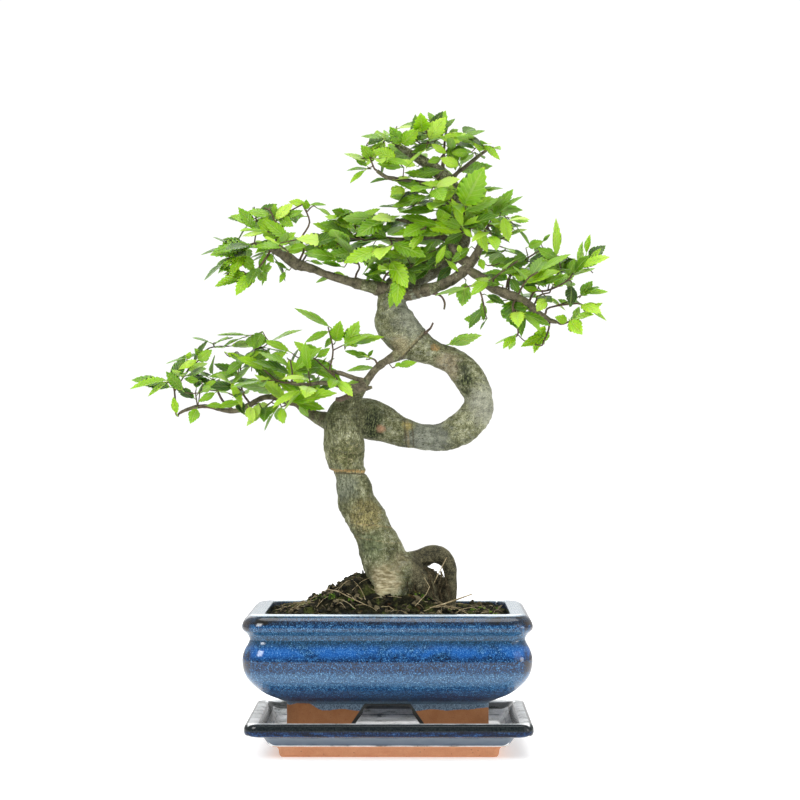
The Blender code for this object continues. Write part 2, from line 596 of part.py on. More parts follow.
def soil_height(x, y):
    """Height of the soil's surface at a place, with its fine unevenness."""
    mound = 0.0
    for centre_x, centre_y, spread_x, spread_y, height in MOUNDS:
        across = (x / MM - centre_x) / spread_x
        along = (y / MM - centre_y) / spread_y
        mound += height * MM * math.exp(-across * across - along * along)
    rough = sum(weight * noise.noise(Vector((x, y, size)) / size) for size, weight in SOIL_WAVES)
    return SOIL_EDGE + mound + rough


def build_soil(parts, material, wood_cutters, screens):
    """The soil: it fills the pot, rises in a mound, and has plain holes for the trunk and the roots."""
    edge_height = (SOIL_EDGE - SOIL_EDGE_DROP) / MM
    rings = []
    for inset, height, corner in reversed(POT_INSIDE):
        if height < edge_height:
            lift = GAP / MM if height == POT_FLOOR / MM else 0
            rings.append(pot_ring(inset + SOIL_WALL_GAP, height + lift, corner))
    edge = pot_ring(SOIL_EDGE_INSET, edge_height, SOIL_EDGE_CORNER)
    rings.append(edge)
    centre = Vector((SOIL_MIDDLE_X, 0, 0))
    for share in SOIL_RING_SHARES:
        ring = []
        for point in edge:
            flat = centre.lerp(Vector((point.x, point.y, 0)), share)
            ring.append(Vector((flat.x, flat.y, soil_height(flat.x, flat.y))))
        rings.append(ring)
    made = add_object("soil", mesh_of("soil", *loft(rings)), parts)
    draw = random.Random(SEED)
    surface = [v.co.copy() for v in made.data.vertices if v.co.z > SOIL_EDGE - SOIL_EDGE_DROP and v.normal.z > 0]
    chips = []
    while len(chips) < CHIP_COUNT:
        spot = draw.choice(surface)
        size = Vector([draw.uniform(*limits) for limits in CHIP_HALF_SIZES]) * MM
        tilt = Matrix.Rotation(draw.uniform(-CHIP_TILT, CHIP_TILT), 4, "Y")
        turn = Matrix.Rotation(draw.uniform(0, math.pi), 4, "Z") @ tilt
        if CHIP_FREE_X[0] < spot.x < CHIP_FREE_X[1] and abs(spot.y) < CHIP_FREE_Y:
            continue
        chip = box_mesh("chip", -size, size)
        chip.transform(Matrix.Translation(spot) @ turn)
        chips.append(add_object("chip", chip, parts))
    fuse([made] + chips)
    for cutter in wood_cutters:
        cut(made, cutter, "MANIFOLD")
    for screen_x in screens:
        half = SCREEN_SIDE / 2 + GAP
        low = (screen_x - half, -half, POT_FLOOR - MM)
        high = (screen_x + half, half, POT_FLOOR + 2 * GAP + SCREEN_THICKNESS)
        cut(made, add_object("recess", box_mesh("recess", low, high), parts), "MANIFOLD")
    keep_largest(made)
    return finish(made, material, LEAF_SMOOTH)


def tube(name, route, sides, grow=0.0):
    """A closed tube along x, y, z, radius points in millimetres, as a mesh object."""
    curve = bpy.data.curves.new(name, "CURVE")
    curve.dimensions = "3D"
    curve.bevel_depth = MM
    curve.bevel_resolution = (sides - 4) // 2
    curve.use_fill_caps = True
    curve.twist_mode = "MINIMUM"
    spline = curve.splines.new("POLY")
    spline.points.add(len(route) - 1)
    for point, (x, y, z, radius) in zip(spline.points, route):
        point.co = (x * MM, y * MM, z * MM, 1)
        point.radius = radius + grow / MM
    drawn = add_object(name + "_curve", curve, bpy.context.scene.collection)
    bpy.context.view_layer.update()
    shaped = drawn.evaluated_get(bpy.context.evaluated_depsgraph_get())
    mesh = bpy.data.meshes.new_from_object(shaped)
    work = bmesh.new()
    work.from_mesh(mesh)
    bmesh.ops.remove_doubles(work, verts=work.verts, dist=0.001 * MM)
    bmesh.ops.recalc_face_normals(work, faces=work.faces)
    work.to_mesh(mesh)
    work.free()
    made = add_object(name, mesh, bpy.context.scene.collection)
    made.matrix_world = drawn.matrix_world
    bpy.data.objects.remove(drawn)
    return made


def roughen(made, amplitude, size):
    """Move a tube's points in and out along their normals by smooth noise."""
    for vertex in made.data.vertices:
        vertex.co += vertex.normal * amplitude * noise.noise(vertex.co / size)


def all_routes():
    """Every route of the wood by name, in millimetres."""
    return {"trunk_lower": TRUNK_LOWER, "trunk_upper": TRUNK_UPPER, **BRANCHES}


def seat_on_branch(branch, target):
    """Where a stem that heads for a target starts: just off the side of its branch, or off the branch's end."""
    route = all_routes()[branch]
    best = None
    for start, end in zip(route, route[1:]):
        a, b = Vector(start[:3]), Vector(end[:3])
        along = (b - a).normalized()
        share = max(0.0, min(1.0, (target - a).dot(along) / (b - a).length))
        point = a.lerp(b, share)
        radius = start[3] + (end[3] - start[3]) * share
        if best is None or (target - point).length < (target - best[0]).length:
            best = point, radius, along, end is route[-1] and share == 1.0
    point, radius, along, is_end = best
    if is_end:
        return point + along * GAP / MM
    return point + (target - point).normalized() * (radius + GAP / MM)


def stem_places(branch, points, is_first):
    """The centre line of a stem in millimetres, with its seat on the branch in front if it is a spray's first."""
    places = [Vector(p) for p in points]
    return [seat_on_branch(branch, places[0])] + places if is_first else places


def stem_route(places, is_first):
    """A stem's places with their radii. A side stem starts slim, with its end hidden in its parent."""
    start, end = STEM_RADII if is_first else SIDE_STEM_RADII
    last = len(places) - 1
    return [(*place, start + (end - start) * i / last) for i, place in enumerate(places)]


def point_on(places, share):
    """The place and heading at a share of the length of a chain of points."""
    lengths = [(b - a).length for a, b in zip(places, places[1:])]
    left = share * sum(lengths)
    for (a, b), length in zip(zip(places, places[1:]), lengths):
        if left <= length or b is places[-1]:
            return a + (b - a) * min(1.0, left / length), (b - a).normalized()
        left -= length


def leaf_points(length, width, droop, fold, grow=0.0):
    """Points and faces of a blade with toothed edges on its stalk, along +X with its upper face to +Z."""
    half = width / 2
    reach = PETIOLE + length

    def place(x, y, lift):
        sag = -droop * (x / reach) ** 2 * length
        return Vector((x, y, sag + fold * abs(y) + lift))

    middle = PETIOLE + BLADE_MIDDLE * length
    thick = RIB_HALF_THICKNESS + grow
    thin = NECK_THICKNESS + grow
    points = [
        place(-PETIOLE_SUNK, 0, 0), place(PETIOLE, 0, thin), place(middle, 0, thick), place(middle, 0, -thick),
        place(reach + grow, 0, 0),
    ]
    root, neck, ridge, keel, tip = range(5)
    faces = []
    edges = []
    for side in (1, -1):
        first = len(points)
        points.append(place(PETIOLE, side * (PETIOLE_HALF_WIDTH + grow), 0))
        for along, across in BLADE_EDGE:
            points.append(place(PETIOLE + along * length, side * (across * half + grow), 0))
        edge = list(range(first, len(points))) + [tip]
        edges.append(edge)
        faces += [(root, neck, edge[0]), (neck, edge[1], edge[0]), (neck, ridge, edge[1])]
        faces += [(ridge, b, a) for a, b in zip(edge[1:], edge[2:])]
        faces += [(keel, b, a) for a, b in zip(edge, edge[1:])]
    faces += [(root, edges[0][0], edges[1][0]), (keel, edges[0][0], edges[1][0])]
    return points, faces


def leaf_frames(places, is_terminal, share, side, draw, size):
    """The frame, sizes and stem heading of one leaf, with the same number of draws for each."""
    spot, heading = point_on(places, share)
    if is_terminal:
        spot = spot - heading * END_LEAF_SUNK
    swing = math.radians(draw.uniform(*LEAF_SWING))
    length = size * MM * draw.uniform(*LEAF_LENGTHS)
    width = length * draw.uniform(*LEAF_WIDTHS)
    droop = draw.uniform(*LEAF_DROOPS)
    fold = draw.uniform(*LEAF_FOLDS)
    jitter = Vector([draw.uniform(-limit, limit) for limit in LEAF_JITTER])
    up = Vector((0, 0, 1)) if abs(heading.z) < STEEP_STEM else Vector((0, -1, 0))
    across = heading.cross(up).normalized()
    pointing = heading if is_terminal else heading * math.cos(swing) + across * side * math.sin(swing)
    outwards = 1 if spot.x > 0 else -1
    backwards = 1 if spot.y > LEAF_BACK_Y else -1
    face = Vector((LEAF_FACE[0] * outwards, LEAF_FACE[1] * backwards, LEAF_FACE[2])) + jitter
    pointing = pointing.normalized()
    normal = (face - pointing * face.dot(pointing)).normalized()
    frame = Matrix((pointing, normal.cross(pointing), normal)).transposed().to_4x4()
    frame.translation = spot
    return frame, heading, (length, width, droop, fold)


def turned_frame(frame, heading, turn):
    """A leaf's frame turned about its stem by an angle in degrees."""
    spot = frame.translation.copy()
    spin = Matrix.Rotation(math.radians(turn), 4, heading)
    return Matrix.Translation(spot) @ spin @ Matrix.Translation(-spot) @ frame


class Keepout:
    """Solids that a new leaf has to stay clear of, with their boxes for a quick first test."""

    def __init__(self):
        self.solids = []

    def add(self, points, faces, owner=None):
        """Add a solid; its owner's own leaves may touch it."""
        low = Vector([min(p[i] for p in points) for i in range(3)])
        high = Vector([max(p[i] for p in points) for i in range(3)])
        self.solids.append((low, high, BVHTree.FromPolygons(points, faces), owner))

    def hits(self, points, faces, owner):
        """Whether a solid crosses any that its owner doesn't own."""
        low = Vector([min(p[i] for p in points) for i in range(3)])
        high = Vector([max(p[i] for p in points) for i in range(3)])
        tree = BVHTree.FromPolygons(points, faces)
        for other_low, other_high, other, other_owner in self.solids:
            if owner is not None and other_owner == owner:
                continue
            if any(low[i] > other_high[i] or high[i] < other_low[i] for i in range(3)):
                continue
            if tree.overlap(other):
                return True
        return False


def mesh_data(made):
    """Points and faces of an object's mesh."""
    return [v.co.copy() for v in made.data.vertices], [tuple(f.vertices) for f in made.data.polygons]


def build_wood(parts, material):
    """The trunk with its loop, the roots, the branches and the bare twigs, as one solid."""
    lower = tube("wood", TRUNK_LOWER, TRUNK_SIDES)
    upper = tube("trunk_upper", TRUNK_UPPER, TRUNK_SIDES)
    for trunk in (lower, upper):
        roughen(trunk, TRUNK_ROUGHNESS, TRUNK_ROUGHNESS_SIZE)
    pieces = [lower, upper]
    for name, route in BRANCHES.items():
        sides = BRANCH_SIDES if name in THICK_BRANCHES else STEM_SIDES if name in THIN_TWIGS else TWIG_SIDES
        pieces.append(tube(name, route, sides))
    fuse(pieces)
    keep_largest(lower)
    for holder in list(lower.users_collection):
        holder.objects.unlink(lower)
    parts.objects.link(lower)
    return finish(lower, material, BARK_SMOOTH)


def soil_cutters():
    """Slightly fat copies of the trunk's foot and of the roots, to cut their holes in the soil."""
    trunk = tube("trunk_hole", TRUNK_LOWER, TRUNK_SIDES)
    roughen(trunk, TRUNK_ROUGHNESS, TRUNK_ROUGHNESS_SIZE)
    for vertex in trunk.data.vertices:
        vertex.co += vertex.normal * HOLE_GAP
    cutters = [trunk]
    for name, route in BRANCHES.items():
        if name.startswith("root"):
            before, last = Vector(route[-2][:3]), Vector(route[-1][:3])
            deeper = last + (last - before).normalized() * HOLE_GAP / MM
            cutters.append(tube(name + "_hole", (*route[:-1], (*deeper, route[-1][3])), BRANCH_SIDES, HOLE_GAP))
    return cutters


def build_sprays(parts, material, keepout):
    """Every leafy spray: its stems and the leaves along them, each clear of all the other pieces."""
    stems_made = {}
    for name, (branch, stems) in SPRAYS.items():
        made = []
        for index, (points, _, _, _) in enumerate(stems):
            route = stem_route(stem_places(branch, points, index == 0), index == 0)
            stem = tube(f"{name}_{index}", route, STEM_SIDES)
            made.append(stem)
            keepout.add(*mesh_data(stem), owner=name)
        stems_made[name] = made
    for number, (name, (branch, stems)) in enumerate(SPRAYS.items()):
        draw = random.Random(SEED * 1000 + number)
        pieces = stems_made[name]
        for index, (points, count, size, bare) in enumerate(stems):
            places = [place * MM for place in stem_places(branch, points, index == 0)]
            for order in range(count):
                is_terminal = order == count - 1
                share = 1.0 if is_terminal else bare + (1 - bare) * (order + LEAF_FIRST_STEP) / count
                side = 1 if (order + index) % 2 else -1
                frame, heading, shape = leaf_frames(places, is_terminal, share, side, draw, size)
                points_out, faces = leaf_points(*shape)
                wide_points, _ = leaf_points(*shape, CLEARANCE)
                for turn in TURNS:
                    turned = turned_frame(frame, heading, turn)
                    test = [turned @ p for p in wide_points]
                    if not keepout.hits(test, faces, name):
                        break
                else:
                    continue
                solid = [turned @ p for p in points_out]
                keepout.add(test[1:], blade_only(faces))
                leaf = add_object("leaf", mesh_of("leaf", solid, faces), bpy.context.scene.collection)
                pieces.append(leaf)
        whole = fuse(pieces)
        for holder in list(whole.users_collection):
            holder.objects.unlink(whole)
        parts.objects.link(whole)
        whole.name = "spray_" + name
        finish(whole, material, LEAF_SMOOTH)


def blade_only(faces):
    """The faces of a leaf without its stalk, numbered for a list of points that leaves out the first."""
    return [tuple(i - 1 for i in face) for face in faces if 0 not in face]


def main():
    """Build every piece."""
    clear_scene()
    parts = new_collection("chinese_elm_bonsai")
    glaze = new_material("blue_glaze", (0.03, 0.10, 0.32), 0.15)
    tray_glaze = new_material("dark_glaze", (0.02, 0.03, 0.08), 0.15)
    plastic = new_material("black_plastic", (0.02, 0.02, 0.02), 0.5)
    earth = new_material("dark_soil", (0.03, 0.022, 0.012), 0.95)
    bark = new_material("elm_bark", (0.22, 0.20, 0.13), 0.85)
    leaf = new_material("elm_leaf", (0.16, 0.36, 0.03), 0.5)
    build_tray(parts, tray_glaze)
    build_pot(parts, glaze)
    screens = {
        "drain_mesh_left": -DRAIN_HOLE_X + POT_CENTRE_X,
        "drain_mesh_right": DRAIN_HOLE_X + POT_CENTRE_X,
    }
    for name, x in screens.items():
        build_screen(name, x, parts, plastic)
    wood = build_wood(parts, bark)
    soil = build_soil(parts, earth, soil_cutters(), screens.values())
    keepout = Keepout()
    keepout.add(*mesh_data(wood))
    keepout.add(*mesh_data(soil))
    build_sprays(parts, leaf, keepout)


main()
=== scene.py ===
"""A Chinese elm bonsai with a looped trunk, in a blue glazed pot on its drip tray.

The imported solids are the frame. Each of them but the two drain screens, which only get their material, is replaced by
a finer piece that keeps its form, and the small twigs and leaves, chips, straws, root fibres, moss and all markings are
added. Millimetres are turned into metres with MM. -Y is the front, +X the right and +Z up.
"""

import json
import logging
import math
import random
from collections.abc import Callable, Iterator, Sequence
from dataclasses import dataclass, field
from enum import Enum

import bmesh
import bpy
import numpy as np
from bpy.types import ID, ColorRamp, Material, Mesh, NodeSocket, Object
from mathutils import Matrix, Vector, noise
from mathutils.bvhtree import BVHTree
from mathutils.kdtree import KDTree

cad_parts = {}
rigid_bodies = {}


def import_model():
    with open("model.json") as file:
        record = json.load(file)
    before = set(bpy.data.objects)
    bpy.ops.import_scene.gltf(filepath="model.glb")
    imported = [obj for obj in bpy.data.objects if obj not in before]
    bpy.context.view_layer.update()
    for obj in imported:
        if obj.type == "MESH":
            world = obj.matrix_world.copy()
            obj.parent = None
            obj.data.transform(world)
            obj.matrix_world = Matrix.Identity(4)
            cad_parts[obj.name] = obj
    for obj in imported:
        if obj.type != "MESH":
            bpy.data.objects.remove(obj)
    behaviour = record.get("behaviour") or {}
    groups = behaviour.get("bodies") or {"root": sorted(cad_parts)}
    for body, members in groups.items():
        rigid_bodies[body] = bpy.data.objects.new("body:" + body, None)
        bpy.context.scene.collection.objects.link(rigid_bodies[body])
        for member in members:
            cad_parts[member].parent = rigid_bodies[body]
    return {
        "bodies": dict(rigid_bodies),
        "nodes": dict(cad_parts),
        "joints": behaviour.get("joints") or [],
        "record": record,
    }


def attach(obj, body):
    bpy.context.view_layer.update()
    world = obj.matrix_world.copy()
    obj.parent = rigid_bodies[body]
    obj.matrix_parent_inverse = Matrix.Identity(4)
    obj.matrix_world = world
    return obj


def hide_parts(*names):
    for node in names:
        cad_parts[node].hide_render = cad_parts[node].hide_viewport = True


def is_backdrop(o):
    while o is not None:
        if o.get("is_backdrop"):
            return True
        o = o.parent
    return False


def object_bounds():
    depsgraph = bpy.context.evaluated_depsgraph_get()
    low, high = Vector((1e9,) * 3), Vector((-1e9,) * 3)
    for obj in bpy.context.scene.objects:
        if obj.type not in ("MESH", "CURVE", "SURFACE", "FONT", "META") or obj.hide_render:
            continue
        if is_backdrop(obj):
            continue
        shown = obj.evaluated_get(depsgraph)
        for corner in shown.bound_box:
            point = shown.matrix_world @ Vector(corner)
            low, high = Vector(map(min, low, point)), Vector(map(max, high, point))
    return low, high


LOG = logging.getLogger("bonsai")
MM = 0.001
SEED = 11

Colour = tuple[float, float, float]
Place = tuple[float, float, float]
Leaf = tuple[float, float, float, float, float, float, float]
Route = tuple[tuple[float, float, float, float], ...]
Row = tuple[float, float, float]
Stem = tuple[tuple[Place, ...], int, float, float]
Sizes = tuple[float, float, float, float]


class Slot(Enum):
    """Names of material slots that are passed with the pieces and not read."""

    TRAY = "tray_glaze"
    POT = "pot_glaze"
    SOIL = "soil"
    BARK = "bark"
    LEAF = "leaf"


# ---- Shader expressions ----------------------


class Socket:
    """An output of a shader node that works in Python expressions."""

    def __init__(self, surface: "Surface", output: NodeSocket) -> None:
        """Keep the output and the surface it belongs to."""
        self.surface = surface
        self.output = output

    def math(self, operation: str, first: "Socket | float", second: "Socket | float" = 0.0) -> "Socket":
        """A Math node of two values."""
        return self.surface.node("ShaderNodeMath", {"operation": operation}, {0: first, 1: second})

    def __add__(self, other: "Socket | float") -> "Socket":
        """Sum."""
        return self.math("ADD", self, other)

    __radd__ = __add__

    def __sub__(self, other: "Socket | float") -> "Socket":
        """Difference."""
        return self.math("SUBTRACT", self, other)

    def __rsub__(self, other: "Socket | float") -> "Socket":
        """Difference from a number."""
        return self.math("SUBTRACT", other, self)

    def __mul__(self, other: "Socket | float") -> "Socket":
        """Product."""
        return self.math("MULTIPLY", self, other)

    __rmul__ = __mul__

    def __truediv__(self, other: "Socket | float") -> "Socket":
        """Quotient."""
        return self.math("DIVIDE", self, other)

    def __abs__(self) -> "Socket":
        """Size without the sign."""
        return self.math("ABSOLUTE", self)

    def __mod__(self, other: "Socket | float") -> "Socket":
        """Remainder that is never negative."""
        return self.math("FLOORED_MODULO", self, other)


class Surface:
    """Builds the nodes of one material round its Principled shader."""

    def __init__(self, name: str) -> None:
        """Start a material with a Principled shader."""
        self.material = bpy.data.materials.new(name)
        self.material.use_nodes = True
        self.tree = self.material.node_tree
        self.shader = self.tree.nodes["Principled BSDF"]
        coords = self.node("ShaderNodeTexCoord", output="Object")
        self.place = self.node("ShaderNodeVectorMath", {"operation": "SCALE"}, {0: coords, "Scale": 1 / MM})

    def node(
        self, kind: str, settings: dict | None = None, inputs: dict | None = None, output: int | str = 0
    ) -> Socket:
        """Add a node.

        Args:
            kind: The node's type.
            settings: Its properties, and the stops of its ramp as "stops".
            inputs: Values or links by the name or number of its sockets.
            output: The name or number of the output that is returned.

        Returns:
            The output.
        """
        made = self.tree.nodes.new(kind)
        for key, value in (settings or {}).items():
            if key == "stops":
                self.set_stops(made.color_ramp, value)
            else:
                setattr(made, key, value)
        for key, value in (inputs or {}).items():
            socket = made.inputs[key]
            if isinstance(value, Socket):
                self.tree.links.new(value.output, socket)
            elif socket.type == "RGBA":
                socket.default_value = (*value, 1.0)
            else:
                socket.default_value = value
        return Socket(self, made.outputs[output])

    @staticmethod
    def set_stops(ramp: ColorRamp, stops: Sequence[tuple[float, Colour]]) -> None:
        """Give a colour ramp its stops."""
        while len(ramp.elements) < len(stops):
            ramp.elements.new(0.5)
        for element, (position, colour) in zip(ramp.elements, stops):
            element.position = position
            element.color = (*colour, 1.0)

    def axes(self) -> tuple[Socket, Socket, Socket]:
        """The x, y and z of a point in millimetres."""
        return tuple(self.node("ShaderNodeSeparateXYZ", inputs={0: self.place}, output=i) for i in range(3))

    def scaled(self, scale: Place) -> Socket:
        """The place stretched along its axes."""
        return self.node("ShaderNodeVectorMath", {"operation": "MULTIPLY"}, {0: self.place, 1: scale})

    def noise(self, size: float, detail: float = 2.0, rough: float = 0.5, vector: Socket | None = None) -> Socket:
        """Noise with forms of a size in millimetres."""
        inputs = {"Vector": vector or self.place, "Scale": 1 / size, "Detail": detail, "Roughness": rough}
        return self.node("ShaderNodeTexNoise", inputs=inputs)

    def warped(self, amount: float, size: float) -> Socket:
        """The place pushed about by noise, up to half an amount in millimetres each way."""
        drift = self.node("ShaderNodeTexNoise", inputs={"Vector": self.place, "Scale": 1 / size}, output="Color")
        centred = self.node("ShaderNodeVectorMath", {"operation": "SUBTRACT"}, {0: drift, 1: (0.5, 0.5, 0.5)})
        push = self.node("ShaderNodeVectorMath", {"operation": "SCALE"}, {0: centred, "Scale": amount})
        return self.node("ShaderNodeVectorMath", {"operation": "ADD"}, {0: self.place, 1: push})

    def tinted(self, tone: Socket, colour: Colour) -> Socket:
        """A colour that is darker and paler with a tone around a half."""
        dark, pale = (tuple(channel * share for channel in colour) for share in (0.42, 1.2))
        return self.ramp(tone, ((0.42, dark), (0.58, pale)))

    def cells(self, size: float) -> Socket:
        """Distance from the middles in a pattern of cells of a size in millimetres."""
        return self.node("ShaderNodeTexVoronoi", inputs={"Vector": self.place, "Scale": 1 / size})

    def ramp(self, factor: Socket, stops: Sequence[tuple[float, Colour]]) -> Socket:
        """A colour from a value."""
        return self.node("ShaderNodeValToRGB", {"stops": stops}, {0: factor})

    def levels(self, factor: Socket, stops: Sequence[tuple[float, float]]) -> Socket:
        """A value from a value, along straight lines between stops."""
        return self.ramp(factor, [(position, (level,) * 3) for position, level in stops])

    def step(self, value: Socket, low: float, high: float) -> Socket:
        """0 below low, 1 above high and smooth between; the other way round if low is the larger."""
        inputs = {"Value": value, "From Min": low, "From Max": high, "To Min": 0.0, "To Max": 1.0}
        return self.node("ShaderNodeMapRange", {"interpolation_type": "SMOOTHSTEP"}, inputs)

    def band(self, value: Socket, low: float, high: float, soft: float) -> Socket:
        """1 between two values and 0 outside them."""
        return self.step(value, low - soft, low + soft) * self.step(value, high + soft, high - soft)

    def blob(self, centre: Place, radius: float, soft: float = 0.5, wobble: Socket | None = None) -> Socket:
        """1 within a radius of a place in millimetres, fading over a share of it."""
        apart = self.node("ShaderNodeVectorMath", {"operation": "DISTANCE"}, {0: self.place, 1: centre}, "Value")
        if wobble is not None:
            apart = apart + (wobble - 0.5) * radius
        return self.step(apart, radius, radius * (1 - soft))

    def mix(self, factor: Socket | float, first: Socket | Colour, second: Socket | Colour) -> Socket:
        """From the first colour to the second."""
        return self.node("ShaderNodeMix", {"data_type": "RGBA"}, {0: factor, 6: first, 7: second}, 2)

    def layered(self, colour: Socket | Colour, *layers: tuple[Socket | float, Socket | Colour]) -> Socket:
        """A colour with others laid over it, each with the share that it covers."""
        for share, upper in layers:
            colour = self.mix(share, colour, upper)
        return colour

    def blend(self, factor: Socket, first: Socket, second: Socket) -> Socket:
        """From the first value to the second."""
        return self.node("ShaderNodeMix", {"data_type": "FLOAT"}, {0: factor, 2: first, 3: second})

    def bump(self, height: Socket, depth: float, strength: float = 1.0) -> Socket:
        """A normal from a height whose full range is a depth in millimetres."""
        return self.node("ShaderNodeBump", inputs={"Height": height, "Distance": depth * MM, "Strength": strength})

    def attribute(self, name: str, output: str, count: int) -> list[Socket]:
        """The first channels of a mesh attribute, read as a Color or as a Vector."""
        whole = self.node("ShaderNodeAttribute", {"attribute_name": name}, output=output)
        kind = "ShaderNodeSeparateColor" if output == "Color" else "ShaderNodeSeparateXYZ"
        return [self.node(kind, inputs={0: whole}, output=i) for i in range(count)]

    def dress(self, **channels: Socket | float | Colour) -> Material:
        """Set or link sockets of the shader, named with underscores.

        Args:
            channels: Values or links, such as Base_Color and Roughness.

        Returns:
            The finished material.
        """
        for name, value in channels.items():
            socket = self.shader.inputs[name.replace("_", " ")]
            if isinstance(value, Socket):
                self.tree.links.new(value.output, socket)
            else:
                socket.default_value = (*value, 1.0) if socket.type == "RGBA" else value
        return self.material


# ---- Finishes --------------------------------


@dataclass(frozen=True)
class Terracotta:
    """Bare fired clay with fine pores and paler bloom."""

    # These default tones are darkened with painted shade, for the pot's foot under its belly.
    pale: Colour = (0.37, 0.165, 0.070)
    dark: Colour = (0.25, 0.098, 0.034)

    def colour(self, surface: Surface) -> Socket:
        """Colour of the clay."""
        cloud = surface.noise(7, 4, 0.6) * 0.6 + surface.noise(0.6, 2, 0.6) * 0.4
        clay = surface.ramp(cloud, ((0.32, self.dark), (0.68, self.pale)))
        pits = surface.step(surface.cells(2.6), 0.16, 0.08)
        return surface.mix(pits * 0.6, clay, (0.2, 0.08, 0.04))

    def relief(self, surface: Surface) -> Socket:
        """Height of the clay's grain."""
        return surface.noise(0.5, 3, 0.7) * 0.6 + surface.noise(2.5, 2) * 0.4


@dataclass(frozen=True)
class PotGlaze:
    """Speckled blue glaze that breaks dark brown over edges, with bare clay at the bottom of the foot."""

    clay: Terracotta = field(default_factory=Terracotta)
    middle_x: float = -0.8
    band_low: float = 28.0
    band_high: float = 80.0

    def material(self) -> Material:
        """The pot's material."""
        surface = Surface("blue_pot_glaze")
        x, y, z = surface.axes()
        across = abs(x - self.middle_x)
        deep = abs(y)
        drift = surface.noise(26, 2, 0.5, surface.scaled((1, 1, 0.5)))
        wavy_z = z + (drift - 0.5) * 3.2
        span = self.band_high - self.band_low
        level = (wavy_z - self.band_low) / span
        # Lighter and darker bands by height: partly the glaze's own banding, partly painted reflection of the studio
        # along the curved profile.
        bands = surface.levels(level, (
            (0.02, 0.36), (0.09, 0.44), (0.17, 0.5), (0.22, 0.55), (0.33, 0.55), (0.38, 0.45), (0.53, 0.44),
            (0.58, 0.55), (0.64, 0.50), (0.68, 0.43), (0.74, 0.52), (0.82, 0.52), (0.9, 0.46), (0.95, 0.58),
        ))
        fine = surface.noise(0.5, 2, 0.8, surface.scaled((1, 1, 0.7)))
        grain = surface.noise(1.4, 3, 0.7)
        mottled = fine * 0.7 + grain * 0.3
        value = (mottled - 0.5) * 2.1 + bands - 0.05
        blue = surface.ramp(value, (
            (0.22, (0.001, 0.004, 0.014)), (0.38, (0.003, 0.018, 0.060)), (0.48, (0.010, 0.058, 0.165)),
            (0.58, (0.026, 0.120, 0.285)), (0.70, (0.10, 0.26, 0.42)), (0.86, (0.34, 0.54, 0.64)),
        ))
        # Bright blue band high on the belly: a painted highlight.
        painted_highlight_band = surface.band(wavy_z, 55, 61, 2.2) * surface.step(surface.noise(10, 3, 0.6), 0.3, 0.56) * 0.45
        ends = surface.step(across, 42, 66)
        patches = surface.step(surface.noise(11, 3, 0.6), 0.5, 0.62)
        worn = surface.band(z + (grain - 0.5) * 1.2, 72.4, 77.0, 0.7)
        # Pale grey-blue over the rim's top: painted reflection of the white surroundings.
        top = surface.step(z + (grain - 0.5) * 0.4, 76.6, 77.2)
        painted_rim_reflection = surface.ramp(mottled, ((0.35, (0.24, 0.32, 0.39)), (0.62, (0.64, 0.72, 0.76))))
        corner = surface.step(across, 71, 75.5) * surface.step(deep, 49, 54) * surface.step(z, 31, 34)
        edge_x = surface.step(across + (grain - 0.5) * 1.5, 75.2, 77.2) * surface.step(deep, 40, 46)
        rim_corner = surface.step(corner + edge_x, 0.1, 0.9) * surface.step(surface.noise(6, 3), 0.36, 0.5)
        foot = surface.ramp(mottled, ((0.4, (0.020, 0.042, 0.075)), (0.64, (0.17, 0.27, 0.37))))
        # Near black on the arch cut-outs and beside them below the body: the dark glaze of the cut edges, with painted
        # shade in the recess under the pot.
        slope = (z - 12.8) * 0.68
        under_body = surface.step(z, 28.6, 27.9)
        way = surface.step(across + slope, 23.4, 22.4) * under_body
        side_way = surface.step(deep + slope * 0.66, 14.8, 13.9) * under_body * surface.step(across, 46, 48)
        blue = surface.layered(
            blue,
            # Teal band at the neck and grey-blue band low on the belly: partly glaze colour, partly painted reflection.
            (surface.band(wavy_z, 61, 70, 2) * 0.3, (0.026, 0.085, 0.12)),
            (surface.band(wavy_z, 39.5, 46.5, 1.6) * 0.3, (0.09, 0.18, 0.28)),
            (painted_highlight_band, (0.012, 0.13, 0.50)),
            (worn * (ends * 0.3 + patches * 0.25 + 0.45), (0.010, 0.010, 0.009)),
            (top * 0.8, painted_rim_reflection),
            (rim_corner * 0.85, (0.028, 0.02, 0.014)),
            (surface.step(z, 30.6, 29.2), foot),
            (surface.step(way + side_way, 0.2, 0.8), (0.012, 0.014, 0.011)),
        )
        line = 24.9 + (surface.noise(19, 1, 0.4, surface.scaled((1, 1, 0.05))) - 0.5) * 5.5 + (grain - 0.5) * 0.9
        line = line + surface.step(x, -36, -44) * 3
        bare_front = surface.step(z - line, 0.25, -0.25) * surface.step(way + side_way, 0.8, 0.3)
        inside = surface.step(across, 47.6, 47.2) * surface.step(deep, 27.6, 27.2) * surface.step(z, 33, 32.4)
        bare = surface.step(bare_front + inside, 0.3, 0.7)
        colour = surface.mix(bare, blue, self.clay.colour(surface))
        rough = bare * 0.72 + 0.1 + (fine - 0.4) * 0.14 + surface.step(z, 40, 33) * 0.35
        skin = surface.noise(4.5, 2) * 0.7 + fine * 0.3
        height = surface.blend(bare, skin * 0.35, self.clay.relief(surface))
        return surface.dress(
            Base_Color=colour, Roughness=rough, Normal=surface.bump(height, 0.22, 0.6), Specular_IOR_Level=0.5
        )


